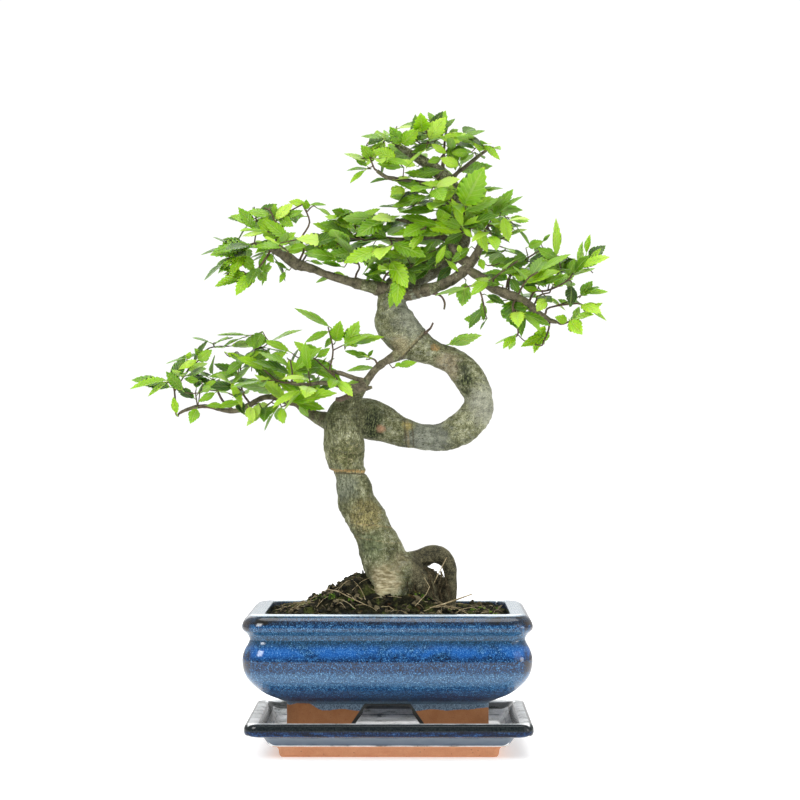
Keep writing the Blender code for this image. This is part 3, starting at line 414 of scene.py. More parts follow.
@dataclass(frozen=True)
class TrayGlaze:
    """Dark glaze with blue glints under the lip's edge, a blue underside band and a bare clay foot."""

    # The same bare clay in paler tones, as lit at the tray's foot; the pot's foot keeps the tones with painted shade.
    clay: Terracotta = Terracotta((0.68, 0.36, 0.205), (0.57, 0.26, 0.137))
    half_width: float = 77.5
    half_depth: float = 59.0

    def material(self) -> Material:
        """The tray's material."""
        surface = Surface("dark_tray_glaze")
        x, y, z = surface.axes()
        fine = surface.noise(0.8, 3, 0.7)
        streak = surface.noise(3.4, 3, 0.6, surface.scaled((0.35, 0.35, 1.4)))
        olive = surface.ramp(fine, ((0.35, (0.002, 0.005, 0.008)), (0.65, (0.020, 0.026, 0.026))))
        navy = surface.ramp(fine * 0.5 + streak * 0.5, (
            (0.40, (0.002, 0.004, 0.010)), (0.5, (0.004, 0.012, 0.040)), (0.58, (0.012, 0.046, 0.14)),
            (0.72, (0.10, 0.22, 0.38)),
        ))
        from_x, from_y = self.half_width - abs(x), self.half_depth - abs(y)
        outer = surface.step(from_x, 3.2, 1.6) + surface.step(from_y, 3.2, 1.6)
        lower_lip = surface.step(z + (streak - 0.5) * 2.2, 16.4, 15.2) * surface.step(outer, 0.1, 0.9)
        # Pale grey to near white inside the lip's outer edge: painted reflection of the white surroundings in the
        # glaze.
        dish = surface.ramp(streak * 0.7 + fine * 0.3, (
            (0.36, (0.20, 0.22, 0.21)), (0.45, (0.60, 0.63, 0.62)), (0.62, (0.92, 0.94, 0.94)),
        ))
        # Dark line where the dish's inner wall meets its floor: painted shade in the crease.
        painted_crease_shade = surface.band(from_x, 7.4, 10.4, 0.5) * surface.step(from_y, 7.2, 7.9)
        painted_crease_shade = painted_crease_shade + surface.band(from_y, 7.4, 10.4, 0.5) * surface.step(from_x, 7.2, 7.9)
        painted_crease_shade = surface.step(painted_crease_shade + (streak - 0.5) * 0.6, 0.45, 0.75)
        under = surface.step(z + (streak - 0.5) * 0.5, 12.7, 12.2)
        shell = surface.step(surface.step(from_x, 13.2, 12.8) + surface.step(from_y, 13.2, 12.8), 0.2, 0.8)
        slope = surface.ramp((z - 6) / 6.5 + (streak - 0.5) * 0.5, (
            (0.0, (0.05, 0.065, 0.095)), (0.3, (0.115, 0.15, 0.20)), (0.75, (0.17, 0.21, 0.25)),
            (1.0, (0.05, 0.07, 0.11)),
        ))
        foot = surface.step(z + (fine - 0.5) * 0.5, 6.5, 6.2)
        colour = surface.layered(
            olive,
            (surface.step(outer, 0.9, 0.1), dish),
            (painted_crease_shade * 0.8, (0.02, 0.022, 0.016)),
            (lower_lip, navy),
            (under * shell, slope),
            (foot, self.clay.colour(surface)),
        )
        rough = foot * 0.74 + 0.09 + (fine - 0.4) * 0.12
        height = surface.blend(foot, surface.noise(5, 3) * 0.5 + fine * 0.12, self.clay.relief(surface))
        return surface.dress(
            Base_Color=colour, Roughness=rough, Normal=surface.bump(height, 0.25, 0.6), Specular_IOR_Level=0.22
        )


@dataclass(frozen=True)
class Bark:
    """Speckled olive-grey elm bark, scaly in places, with the scars, rings and hollows of this trunk."""

    # Tints by region. The two darkest, high in the crown at z 268 and 290, are painted shade under the leaves; the pale
    # grey-green one on the right bend is partly the bark's colour, partly painted light on its lit side.
    zones: tuple[tuple[Place, float, Colour, float], ...] = (
        ((21, -6, 170), 17, (0.215, 0.23, 0.185), 0.85), ((14, -6, 240), 19, (0.32, 0.335, 0.27), 0.6),
        ((54, -8, 190), 16, (0.44, 0.445, 0.35), 0.7), ((32, -6, 211), 11, (0.37, 0.30, 0.19), 0.65),
        ((5, -9, 222), 8, (0.40, 0.33, 0.19), 0.45), ((-24, -9, 144), 10, (0.21, 0.235, 0.175), 0.65),
        ((-11, -12, 112), 11, (0.17, 0.215, 0.10), 0.6), ((-24, -9, 163), 11, (0.20, 0.21, 0.06), 0.5),
        ((-13, -10, 129), 12, (0.33, 0.285, 0.105), 0.8), ((6, -8, 103), 8, (0.24, 0.20, 0.11), 0.6),
        ((26, 4, 268), 20, (0.085, 0.078, 0.045), 0.85), ((41, 5, 290), 17, (0.13, 0.11, 0.065), 0.8),
        ((10, -2, 179), 4.6, (0.46, 0.38, 0.12), 0.9), ((-8, -4, 190), 8, (0.14, 0.155, 0.07), 0.6),
    )
    # Dark green spots in the hollows and folds: partly the wood's own green there, partly painted shade, strongest in
    # the fold inside the loop.
    pits: tuple[tuple[Place, float, float], ...] = (
        ((-9, -3, 182), 7.5, 0.95), ((-8, -3, 174), 8, 0.97), ((41, -9, 209), 5.5, 0.85), ((41.5, -10, 203), 6.5, 0.93),
        ((41, -10, 197), 5, 0.88), ((9, -9, 80), 10, 0.85), ((13, -9, 243), 5, 0.5), ((-33, -9, 131), 4, 0.6),
        ((30, -6, 206), 4, 0.5), ((-1, -6, 186), 7, 0.5), ((37, -8, 200), 4, 0.7), ((39, -9, 212), 4, 0.6),
    )

    def material(self) -> Material:
        """The trunk's material."""
        surface = Surface("elm_bark")
        x, _, z = surface.axes()
        mid = surface.noise(3.2, 4, 0.7)
        fine = surface.noise(0.62, 3, 0.75)
        streaks = surface.noise(1.1, 3, 0.7, surface.scaled((1.5, 1.5, 0.5)))
        lower = surface.step(x, -4, -12) * 0.65
        tone = mid * 0.38 + surface.noise(13, 3, 0.55) * 0.2 + (fine * (1 - lower) + streaks * lower) * 0.42
        bark = surface.ramp(tone, (
            (0.39, (0.016, 0.018, 0.005)), (0.45, (0.060, 0.064, 0.024)), (0.50, (0.134, 0.140, 0.064)),
            (0.55, (0.235, 0.240, 0.130)), (0.62, (0.50, 0.505, 0.35)),
        ))
        rugged = surface.blob((-24, -10, 163), 12, 0.5, mid) + surface.blob((-14, -10, 128), 13, 0.5, mid)
        furrows = abs(surface.noise(3.6, 3, 0.6, surface.scaled((1.25, 1.25, 0.75))) - 0.5)
        cracks = surface.step(furrows, 0.026, 0.006) * (rugged * 0.6 + 0.35)
        plates = surface.step(surface.noise(1.7, 3, 0.7, surface.scaled((0.7, 0.7, 1.3))), 0.54, 0.66) * rugged
        holes = surface.step(surface.cells(1.9) + (fine - 0.5) * 0.6, 0.28, 0.14)
        holes = holes * surface.step(surface.noise(9, 2), 0.45, 0.58)
        burl = surface.blob((-23, -8, 185), 15, 0.5, mid)
        wrinkle = surface.node(
            "ShaderNodeTexWave", {"bands_direction": "Z"},
            {"Vector": surface.warped(2.6, 5), "Scale": 0.24, "Distortion": 1.0, "Detail": 2.0},
        )
        lines = surface.step(abs(surface.noise(2.2, 2, 0.5, surface.scaled((1.5, 1.5, 0.35))) - 0.5), 0.045, 0.012)
        plain = surface.noise(3.0, 3, 0.65, surface.scaled((0.6, 1.0, 1.4)))
        upper = 1 - lower
        roots = surface.step(x, 9, 14) * surface.step(z, 118, 110)
        root_bark = surface.ramp(tone, ((0.44, (0.012, 0.011, 0.005)), (0.60, (0.165, 0.145, 0.078))))
        green = surface.ramp(streaks, (
            (0.42, (0.006, 0.009, 0.003)), (0.54, (0.040, 0.050, 0.016)), (0.64, (0.18, 0.20, 0.09)),
        ))
        ring, line = self.rings(surface, x, z, mid)
        scar = surface.blob((-4.8, -2.6, 175.8), 3.6, 0.6, mid)
        base = surface.blob((-3, -13.5, 93), 12, 0.6, mid)
        folds = surface.noise(2.0, 3, 0.65, surface.scaled((0.45, 0.8, 1.5)))
        pale = surface.ramp(folds, (
            (0.38, (0.20, 0.16, 0.075)), (0.52, (0.42, 0.36, 0.21)), (0.62, (0.60, 0.54, 0.36)),
        ))
        bark = surface.layered(
            bark,
            *(
                (surface.blob(centre, radius, 0.6, mid) * strength, surface.tinted(tone, colour))
                for centre, radius, colour, strength in self.zones
            ),
            (surface.step(cracks, 0.0, 1.0) * 0.85, (0.026, 0.025, 0.009)),
            (plates * 0.6, (0.46, 0.40, 0.22)),
            (holes * 0.8, (0.030, 0.028, 0.012)),
            (burl * surface.step(wrinkle, 0.35, 0.1) * 0.3, (0.06, 0.06, 0.025)),
            (lines * lower, (0.030, 0.031, 0.011)),
            (surface.step(plain, 0.52, 0.62) * upper * 0.3, (0.33, 0.345, 0.27)),
            (surface.step(plain, 0.46, 0.38) * upper * 0.35, (0.080, 0.085, 0.040)),
            (roots * 0.93, root_bark),
            # Dark green in the hollows, partly painted shade.
            *(
                (surface.blob(centre, radius, 0.55, mid) * strength, green)
                for centre, radius, strength in self.pits
            ),
            (ring * surface.step(streaks, 0.36, 0.54), surface.tinted(tone, (0.37, 0.24, 0.09))),
            (line * 0.75, (0.045, 0.032, 0.014)),
            (scar * 0.9, surface.tinted(tone, (0.36, 0.21, 0.12))),
            (base * 0.85, pale),
        )
        height = mid * 0.4 + fine * 0.4 + surface.cells(1.9) * 0.2 - cracks * 0.5 + wrinkle * burl * 0.25
        return surface.dress(
            Base_Color=bark, Roughness=0.78 + (fine - 0.5) * 0.3, Normal=surface.bump(height, 0.9, 0.9),
            Specular_IOR_Level=0.3,
        )

    def rings(self, surface: Surface, x: Socket, z: Socket, mid: Socket) -> tuple[Socket, Socket]:
        """Where the tan rings and spots show, and the dark lines beside them."""
        height = z + x * 0.04 + (mid - 0.5) * 2.2
        left = surface.step(x, -8, -10)
        lower = surface.band(height, 151.5, 153.0, 0.6) * left
        slanted = x * 0.735 - z * 0.678 + (mid - 0.5) * 2.4
        front = surface.band(x, 6, 23, 1.5) * surface.step(z, 212, 216)
        upper = surface.band(slanted, -142.6, -141.2, 0.5) * front
        across = x + (z - 172) * 0.06 + (mid - 0.5) * 2.4
        under = surface.step(z, 184, 180) * surface.step(z, 158, 162)
        collar = surface.band(across, 9.4, 10.8, 0.7) * under * 0.5
        spots = surface.blob((25.5, -4, 221.5), 3.6, 0.6, mid) * 1.3 + surface.blob((12, -5, 181), 2.4, 0.7, mid)
        faint = surface.band(height + x * 0.1, 121.6, 122.6, 0.5) + surface.band(height + x * 0.1, 113.6, 114.4, 0.5)
        low = surface.step(z, 126, 124) * surface.step(x, 12, 9) * surface.step(z, 108, 110)
        tan = lower + upper * 0.4 + collar + spots * 0.7 + faint * low * 0.45
        dark = surface.band(height, 150.4, 151.3, 0.4) * left + surface.band(slanted, -141.4, -140.4, 0.4) * front
        dark = dark + (surface.band(across, 8.2, 9.2, 0.4) + surface.band(across, 12.4, 13.2, 0.4)) * under * 0.8
        return surface.step(tan, 0.05, 1.0), surface.step(dark, 0.05, 1.0)


@dataclass(frozen=True)
class TwigBark:
    """Brown bark of the branches and twigs, from grey-brown on thick wood to dark brown on thin."""

    name: str
    dark: Colour
    pale: Colour

    def material(self) -> Material:
        """The material."""
        surface = Surface(self.name)
        mid = surface.noise(2.6, 3, 0.65)
        fine = surface.noise(0.6, 2, 0.7)
        colour = surface.ramp(mid * 0.6 + fine * 0.4, ((0.36, self.dark), (0.66, self.pale)))
        green = surface.step(surface.noise(9, 2), 0.56, 0.68) * 0.4
        colour = surface.mix(green, colour, (0.10, 0.11, 0.035))
        return surface.dress(
            Base_Color=colour, Roughness=0.68 + fine * 0.2, Normal=surface.bump(mid * 0.6 + fine * 0.4, 0.3, 0.8),
            Specular_IOR_Level=0.3,
        )


@dataclass(frozen=True)
class LeafSkin:
    """Satin green blade: paler midrib and side veins, lighter underside, and a tone per leaf with painted light and
    shade.
    """

    veins: float = 8.0
    slant: float = 0.30

    def material(self) -> Material:
        """The material of every leaf."""
        surface = Surface("elm_leaf")
        tone, under, lime = surface.attribute("LeafData", "Color", 3)
        along, across = surface.attribute("LeafUV", "Vector", 2)
        out = abs(across - 0.5) * 2
        cycle = ((along - out * self.slant) * self.veins) % 1.0
        near = abs(cycle - 0.5) * 2
        side_vein = surface.step(near, 0.70, 0.96) * surface.step(out, 1.0, 0.75)
        midrib = surface.step(out, 0.13, 0.045)
        vein = surface.step(side_vein * 0.75 + midrib, 0.0, 1.0)
        blotch = surface.noise(5, 2) * 0.3 + surface.noise(1.1, 2) * 0.14 - 0.22 + (along - 0.5) * 0.12
        green = surface.ramp(tone + blotch, (
            (0.0, (0.012, 0.036, 0.001)), (0.3, (0.054, 0.142, 0.001)), (0.55, (0.146, 0.310, 0.001)),
            (0.8, (0.275, 0.485, 0.006)), (1.0, (0.42, 0.62, 0.06)),
        ))
        green = surface.layered(
            green,
            (lime, (0.50, 0.66, 0.15)),
            (surface.step(out, 0.82, 1.0) * 0.16, (0.34, 0.50, 0.06)),
            (vein * 0.26, (0.48, 0.64, 0.17)),
        )
        below = surface.layered((0.26, 0.42, 0.09), (vein * 0.5, (0.44, 0.58, 0.21)), (0.45, green))
        colour = surface.mix(under, green, below)
        quilt = near * near
        height = 1 - (quilt * 0.6 + midrib * 0.9) + surface.noise(0.7, 2) * 0.12
        rough = 0.27 + under * 0.3 + surface.noise(2.2, 2) * 0.14
        return surface.dress(
            Base_Color=colour, Roughness=rough, Normal=surface.bump(height, 0.26, 0.85),
            Subsurface_Weight=0.42, Subsurface_Scale=0.7 * MM, Subsurface_Radius=(0.6, 1.0, 0.05),
            Specular_IOR_Level=0.36,
        )


@dataclass(frozen=True)
class Crumbs:
    """Mottled loose matter whose tone may vary from bit to bit by an attribute."""

    name: str
    dark: Colour
    middle: Colour
    pale: Colour
    size: float = 2.4
    depth: float = 0.8
    by_bit: bool = False

    def material(self) -> Material:
        """The material."""
        surface = Surface(self.name)
        mid = surface.noise(self.size, 4, 0.7)
        fine = surface.noise(self.size / 4, 2, 0.7)
        tone = mid * 0.6 + fine * 0.4
        if self.by_bit:
            tone = tone * 0.5 + surface.attribute("Bit", "Color", 1)[0] * 0.5
        colour = surface.ramp(tone, ((0.3, self.dark), (0.5, self.middle), (0.72, self.pale)))
        return surface.dress(
            Base_Color=colour, Roughness=0.92, Normal=surface.bump(mid * 0.5 + fine * 0.5, self.depth, 0.9),
            Specular_IOR_Level=0.2,
        )


@dataclass(frozen=True)
class Earth:
    """Dark potting soil with brown, olive and russet patches."""

    def material(self) -> Material:
        """The material."""
        surface = Surface("potting_soil")
        mid = surface.noise(3.0, 4, 0.7)
        fine = surface.noise(0.8, 3, 0.7)
        tone = mid * 0.55 + fine * 0.45
        colour = surface.ramp(tone, (
            (0.38, (0.002, 0.002, 0.001)), (0.49, (0.010, 0.010, 0.004)), (0.58, (0.034, 0.032, 0.014)),
            (0.70, (0.12, 0.11, 0.06)),
        ))
        olive = surface.step(surface.noise(9, 3, 0.6), 0.50, 0.62) * 0.55
        mossy = surface.ramp(fine, ((0.36, (0.022, 0.030, 0.007)), (0.64, (0.13, 0.15, 0.035))))
        russet = surface.step(surface.noise(6, 2), 0.62, 0.70) * 0.5
        colour = surface.layered(colour, (olive, mossy), (russet, (0.10, 0.045, 0.02)))
        return surface.dress(
            Base_Color=colour, Roughness=0.95, Normal=surface.bump(tone + surface.cells(1.8) * 0.3, 1.4, 1.0),
            Specular_IOR_Level=0.15,
        )


@dataclass(frozen=True)
class Plastic:
    """Matt black moulded plastic with a fine texture."""

    def material(self) -> Material:
        """The material."""
        surface = Surface("black_screen_plastic")
        grain = surface.noise(0.4, 2, 0.6)
        colour = surface.ramp(grain, ((0.4, (0.012, 0.012, 0.012)), (0.6, (0.03, 0.03, 0.03))))
        return surface.dress(Base_Color=colour, Roughness=0.5 + grain * 0.2, Normal=surface.bump(grain, 0.05, 0.5))


@dataclass(frozen=True)
class PaleFloor:
    """Plain pale studio floor."""

    def material(self) -> Material:
        """The material."""
        surface = Surface("pale_floor")
        return surface.dress(
            Base_Color=(0.9, 0.9, 0.9), Roughness=0.9, Emission_Color=(1.0, 1.0, 1.0), Emission_Strength=0.32
        )


# ---- Modelling by operators ------------------


def deselect() -> None:
    """Go to object mode with nothing selected."""
    if bpy.context.object is not None and bpy.context.object.mode != "OBJECT":
        bpy.ops.object.mode_set(mode="OBJECT")
    bpy.ops.object.select_all(action="DESELECT")


def activate(*objects: Object) -> None:
    """Select objects alone and make the first of them active."""
    deselect()
    for piece in objects:
        piece.select_set(True)
    bpy.context.view_layer.objects.active = objects[0]


def linked(name: str, data: ID) -> Object:
    """A new object in the scene with a mesh, a curve, a lamp or a camera."""
    made = bpy.data.objects.new(name, data)
    bpy.context.scene.collection.objects.link(made)
    return made


def started(name: str) -> Object:
    """Name the primitive that has just been added."""
    made = bpy.context.object
    made.name = made.data.name = name
    return made


def applied(piece: Object, kind: str, **settings: object) -> Object:
    """Add a modifier to a piece and apply it.

    Args:
        piece: The piece.
        kind: The modifier's type.
        settings: Its properties.

    Returns:
        The piece.
    """
    activate(piece)
    step = piece.modifiers.new("step", kind)
    for key, value in settings.items():
        setattr(step, key, value)
    bpy.ops.object.modifier_apply(modifier=step.name)
    return piece


def joined(name: str, objects: Sequence[Object]) -> Object:
    """Join objects into one with a name."""
    activate(*objects)
    if len(objects) > 1:
        bpy.ops.object.join()
    return started(name)


def smoothed(piece: Object, angle: float) -> Object:
    """Shade a piece smooth up to an angle in degrees."""
    activate(piece)
    bpy.ops.object.shade_smooth_by_angle(angle=math.radians(angle))
    return piece


def settled(piece: Object, material: Material, slot: Slot, replaced: Sequence[str] = ()) -> Object:
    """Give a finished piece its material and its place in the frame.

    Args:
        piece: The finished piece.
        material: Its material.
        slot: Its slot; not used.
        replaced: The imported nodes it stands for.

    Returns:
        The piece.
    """
    piece.data.materials.clear()
    piece.data.materials.append(material)
    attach(piece, "root")
    if replaced:
        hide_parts(*replaced)
    piece.data.calc_loop_triangles()
    LOG.info("%s: %d triangles", piece.name, len(piece.data.loop_triangles))
    return piece


def lofted(name: str, rings: Sequence[Sequence[Vector]]) -> Object:
    """Extrude a circle's face from ring to ring into one closed solid.

    Args:
        name: The solid's name.
        rings: Rings of the same number of points, from the first cap to the last.

    Returns:
        The solid, with its faces outwards.
    """
    deselect()
    bpy.ops.mesh.primitive_circle_add(vertices=len(rings[0]), radius=1.0, fill_type="NGON")
    made = started(name)
    bpy.ops.object.mode_set(mode="EDIT")
    work = bmesh.from_edit_mesh(made.data)
    for vertex, place in zip(sorted(work.verts, key=lambda v: v.index), rings[0]):
        vertex.co = place
    for before, after in zip(rings, rings[1:]):
        bmesh.update_edit_mesh(made.data)
        bpy.ops.mesh.extrude_region()
        work = bmesh.from_edit_mesh(made.data)
        cap = {vertex.co.to_tuple(6): vertex for vertex in work.verts if vertex.select}
        for old, new in zip(before, after):
            cap[old.to_tuple(6)].co = new
    bmesh.update_edit_mesh(made.data)
    bpy.ops.mesh.select_all(action="SELECT")
    bpy.ops.mesh.normals_make_consistent(inside=False)
    deselect()
    return made


def cleaned(piece: Object, apart: float = 0.001) -> Object:
    """Merge a piece's doubles closer than a distance in millimetres and turn its faces outwards."""
    activate(piece)
    bpy.ops.object.mode_set(mode="EDIT")
    bpy.ops.mesh.select_all(action="SELECT")
    bpy.ops.mesh.remove_doubles(threshold=apart * MM)
    bpy.ops.mesh.normals_make_consistent(inside=False)
    deselect()
    return piece


def cut(piece: Object, cutter: Object) -> Object:
    """Cut a cutter's shape out of a piece and remove the cutter."""
    applied(piece, "BOOLEAN", operation="DIFFERENCE", solver="EXACT", object=cutter)
    bpy.data.objects.remove(cutter)
    return piece


def curved(rows: Sequence[Sequence[float]], steps: int) -> list[tuple[float, ...]]:
    """Rows of numbers along a smooth curve through given rows.

    Args:
        rows: The rows it passes through.
        steps: How many rows it has from one of them to the next.

    Returns:
        The rows of the curve.
    """
    padded = [rows[0], *rows, rows[-1]]
    made = []
    for a, b, c, d in zip(padded, padded[1:], padded[2:], padded[3:]):
        for step in range(steps):
            t = step / steps
            made.append(tuple(
                q + 0.5 * t * (r - p + t * (2 * p - 5 * q + 4 * r - s + t * (3 * (q - r) + s - p)))
                for p, q, r, s in zip(a, b, c, d)
            ))
    return [*made, tuple(rows[-1])]


def softened(rows: Sequence[Row], cut_back: float) -> list[Row]:
    """A profile with each corner replaced by two points at most a distance in millimetres from it."""
    made = [rows[0]]
    for before, corner, after in zip(rows, rows[1:], rows[2:]):
        for other in (before, after):
            length = math.dist(other[:2], corner[:2])
            share = min(cut_back / length, 0.3)
            made.append(tuple(c + (o - c) * share for c, o in zip(corner, other)))
    return [*made, rows[-1]]


def rounded_ring(half_x: float, half_y: float, corner: float, z: float, centre_x: float = 0.0) -> list[Vector]:
    """A rounded rectangle at a height, in millimetres, counterclockwise seen from above."""
    points = []
    steps = 9
    for quarter, (side_x, side_y) in enumerate(((1, 1), (-1, 1), (-1, -1), (1, -1))):
        for step in range(steps + 1):
            angle = (quarter + step / steps) * math.pi / 2
            x = centre_x + side_x * (half_x - corner) + corner * math.cos(angle)
            y = side_y * (half_y - corner) + corner * math.sin(angle)
            points.append(Vector((x, y, z)) * MM)
    return points


def tubes(name: str, routes: Sequence[Route], sides: int) -> Object:
    """Closed tubes along x, y, z, radius points in millimetres.

    Args:
        name: The name of the mesh.
        routes: One route for each tube.
        sides: The sides of a tube, even and at least 4.

    Returns:
        One mesh object with all of them.
    """
    curve = bpy.data.curves.new(name, "CURVE")
    curve.dimensions = "3D"
    curve.bevel_depth = MM
    curve.bevel_resolution = (sides - 4) // 2
    curve.use_fill_caps = True
    curve.twist_mode = "MINIMUM"
    for route in routes:
        spline = curve.splines.new("POLY")
        spline.points.add(len(route) - 1)
        for point, (x, y, z, radius) in zip(spline.points, route):
            point.co = (x * MM, y * MM, z * MM, 1)
            point.radius = radius
    activate(linked(name, curve))
    bpy.ops.object.convert(target="MESH")
    return cleaned(started(name))


def tree_of(piece: Object) -> BVHTree:
    """A search tree of a piece's faces."""
    return BVHTree.FromPolygons(
        [v.co for v in piece.data.vertices], [tuple(face.vertices) for face in piece.data.polygons]
    )


def points_tree(places: Sequence[Vector]) -> KDTree:
    """A search tree of places."""
    tree = KDTree(len(places))
    for i, place in enumerate(places):
        tree.insert(place, i)
    tree.balance()
    return tree


def lifted(mesh: Mesh, height: Callable[[Vector, Vector], float]) -> None:
    """Move a mesh's points along their normals.

    Args:
        mesh: The mesh.
        height: How far, in millimetres, for a point's place in millimetres and its normal.
    """
    normals = [vertex.normal.copy() for vertex in mesh.vertices]
    places = [vertex.co.copy() for vertex in mesh.vertices]
    moved = [place + normal * height(place / MM, normal) * MM for place, normal in zip(places, normals)]
    mesh.vertices.foreach_set("co", [axis for place in moved for axis in place])
    mesh.update()


def marked(mesh: Mesh, name: str, tone: float) -> None:
    """Give every corner of a mesh one grey tone in a colour attribute."""
    data = mesh.color_attributes.new(name, "FLOAT_COLOR", "CORNER")
    data.data.foreach_set("color", np.tile((tone, tone, tone, 1.0), len(mesh.loops)))


def placed(name: str, mesh: Mesh, frame: Matrix) -> Object:
    """A copy of a mesh, with its own data, put in place."""
    own = mesh.copy()
    own.transform(frame)
    return linked(name, own)


# ---- Tray, pot and soil ----------------------


@dataclass
class DripTray:
    """The tray: bare foot, sloped underside, wide rounded lip and shallow dish. Sizes in millimetres."""

    width: float = 155.0
    depth: float = 118.0
    profile: tuple[Row, ...] = (
        (19.3, 0, 2.0), (18.3, 0.9, 3.0), (17.8, 5.2, 3.5), (13.5, 6.1, 4), (9.3, 12.3, 5), (1.9, 12.5, 7),
        (0, 14.2, 7), (0.2, 18.3, 7), (1.9, 19.9, 6), (6.6, 19.7, 5), (8.0, 18.3, 4.5), (13.6, 11.4, 4),
        (15.4, 10.5, 3.5),
    )
    finish: TrayGlaze = field(default_factory=TrayGlaze)

    def build(self) -> Object:
        """Extrude the rounded outline along the profile."""
        rows = softened(softened(self.profile, 1.0), 0.35)
        rings = [rounded_ring(self.width / 2 - row[0], self.depth / 2 - row[0], row[2], row[1]) for row in rows]
        made = smoothed(lofted("tray", rings), 32)
        return settled(made, self.finish.material(), Slot.TRAY, ["drip_tray"])


@dataclass
class Pot:
    """The pot: arched foot, full belly, waist and rolled rim. Sizes in millimetres."""

    middle_x: float = -0.8
    width: float = 156.0
    depth: float = 116.0
    foot: tuple[Row, ...] = (
        (31.7, 29.6, 5), (30.2, 27.6, 6), (30.2, 10.8, 6), (23.6, 10.8, 8), (23.2, 11.8, 8), (23.2, 27.8, 8),
    )
    body: tuple[Row, ...] = (
        (23.2, 27.8, 8), (22.2, 28.6, 9), (17.4, 30.8, 12), (11.6, 33.8, 13), (4.9, 39.6, 14), (1.2, 45.6, 13.5),
        (0, 52.5, 13), (1.2, 58, 12), (3.4, 62, 10.5), (3.9, 64.4, 10), (2.6, 67, 11), (0.3, 69.2, 12.5),
        (0, 71.6, 12.5), (1.6, 75, 11.5), (4.6, 77.2, 9.5), (8.2, 77.6, 8), (10.8, 77.4, 7), (12.3, 76.4, 6),
        (12.6, 67, 7), (10, 54, 8), (11, 44, 9), (20, 35, 8),
    )
    arch_top: float = 27.2
    arch_top_half: float = 13.4
    arch_bottom_half: float = 20.5
    arch_rounding: float = 4.0
    side_arch_scale: float = 0.66
    drain_x: float = 30.0
    drain_z: float = 32.0
    drain_radius: float = 5.5
    finish: PotGlaze = field(default_factory=PotGlaze)

    def ring(self, inset: float, height: float, corner: float) -> list[Vector]:
        """A ring of the pot, inset from its widest outline."""
        return rounded_ring(self.width / 2 - inset, self.depth / 2 - inset, corner, height, self.middle_x)

    def arch_cutter(self, is_turned: bool) -> Object:
        """A bar with the outline of the foot's cut-outs, through both long walls or both short ones."""
        scale = self.side_arch_scale if is_turned else 1.0
        top, base, low = self.arch_top_half * scale, self.arch_bottom_half * scale, self.foot[2][1]
        outline = [(-base, low - 2), (base, low - 2), (base, low + 2)]
        for side, steps in ((1, range(7)), (-1, range(6, -1, -1))):
            for step in steps:
                angle = step / 6 * math.pi / 2
                outline.append((
                    side * (top - self.arch_rounding * (1 - math.cos(angle))),
                    self.arch_top - self.arch_rounding * (1 - math.sin(angle)),
                ))
        outline.append((-base, low + 2))
        rings = []
        for end in (-self.width, self.width):
            if is_turned:
                rings.append([Vector((end, across, z)) * MM for across, z in outline])
            else:
                rings.append([Vector((across + self.middle_x, end, z)) * MM for across, z in outline])
        return lofted("arch_cutter", rings)

    def build(self) -> Object:
        """Extrude the body along its profile, then cut the arches and the drain holes."""
        rows = softened(self.foot, 0.5)[:-1] + curved(self.body, 3)
        made = lofted("pot_shell", [self.ring(*row) for row in rows])
        for is_turned in (False, True):
            cut(made, self.arch_cutter(is_turned))
        for side in (-1, 1):
            deselect()
            bpy.ops.mesh.primitive_cylinder_add(
                vertices=32, radius=self.drain_radius * MM, depth=20 * MM,
                location=((side * self.drain_x + self.middle_x) * MM, 0, self.drain_z * MM),
            )
            cut(made, started("drain_cutter"))
        made = smoothed(cleaned(made), 34)
        return settled(made, self.finish.material(), Slot.POT, ["pot"])


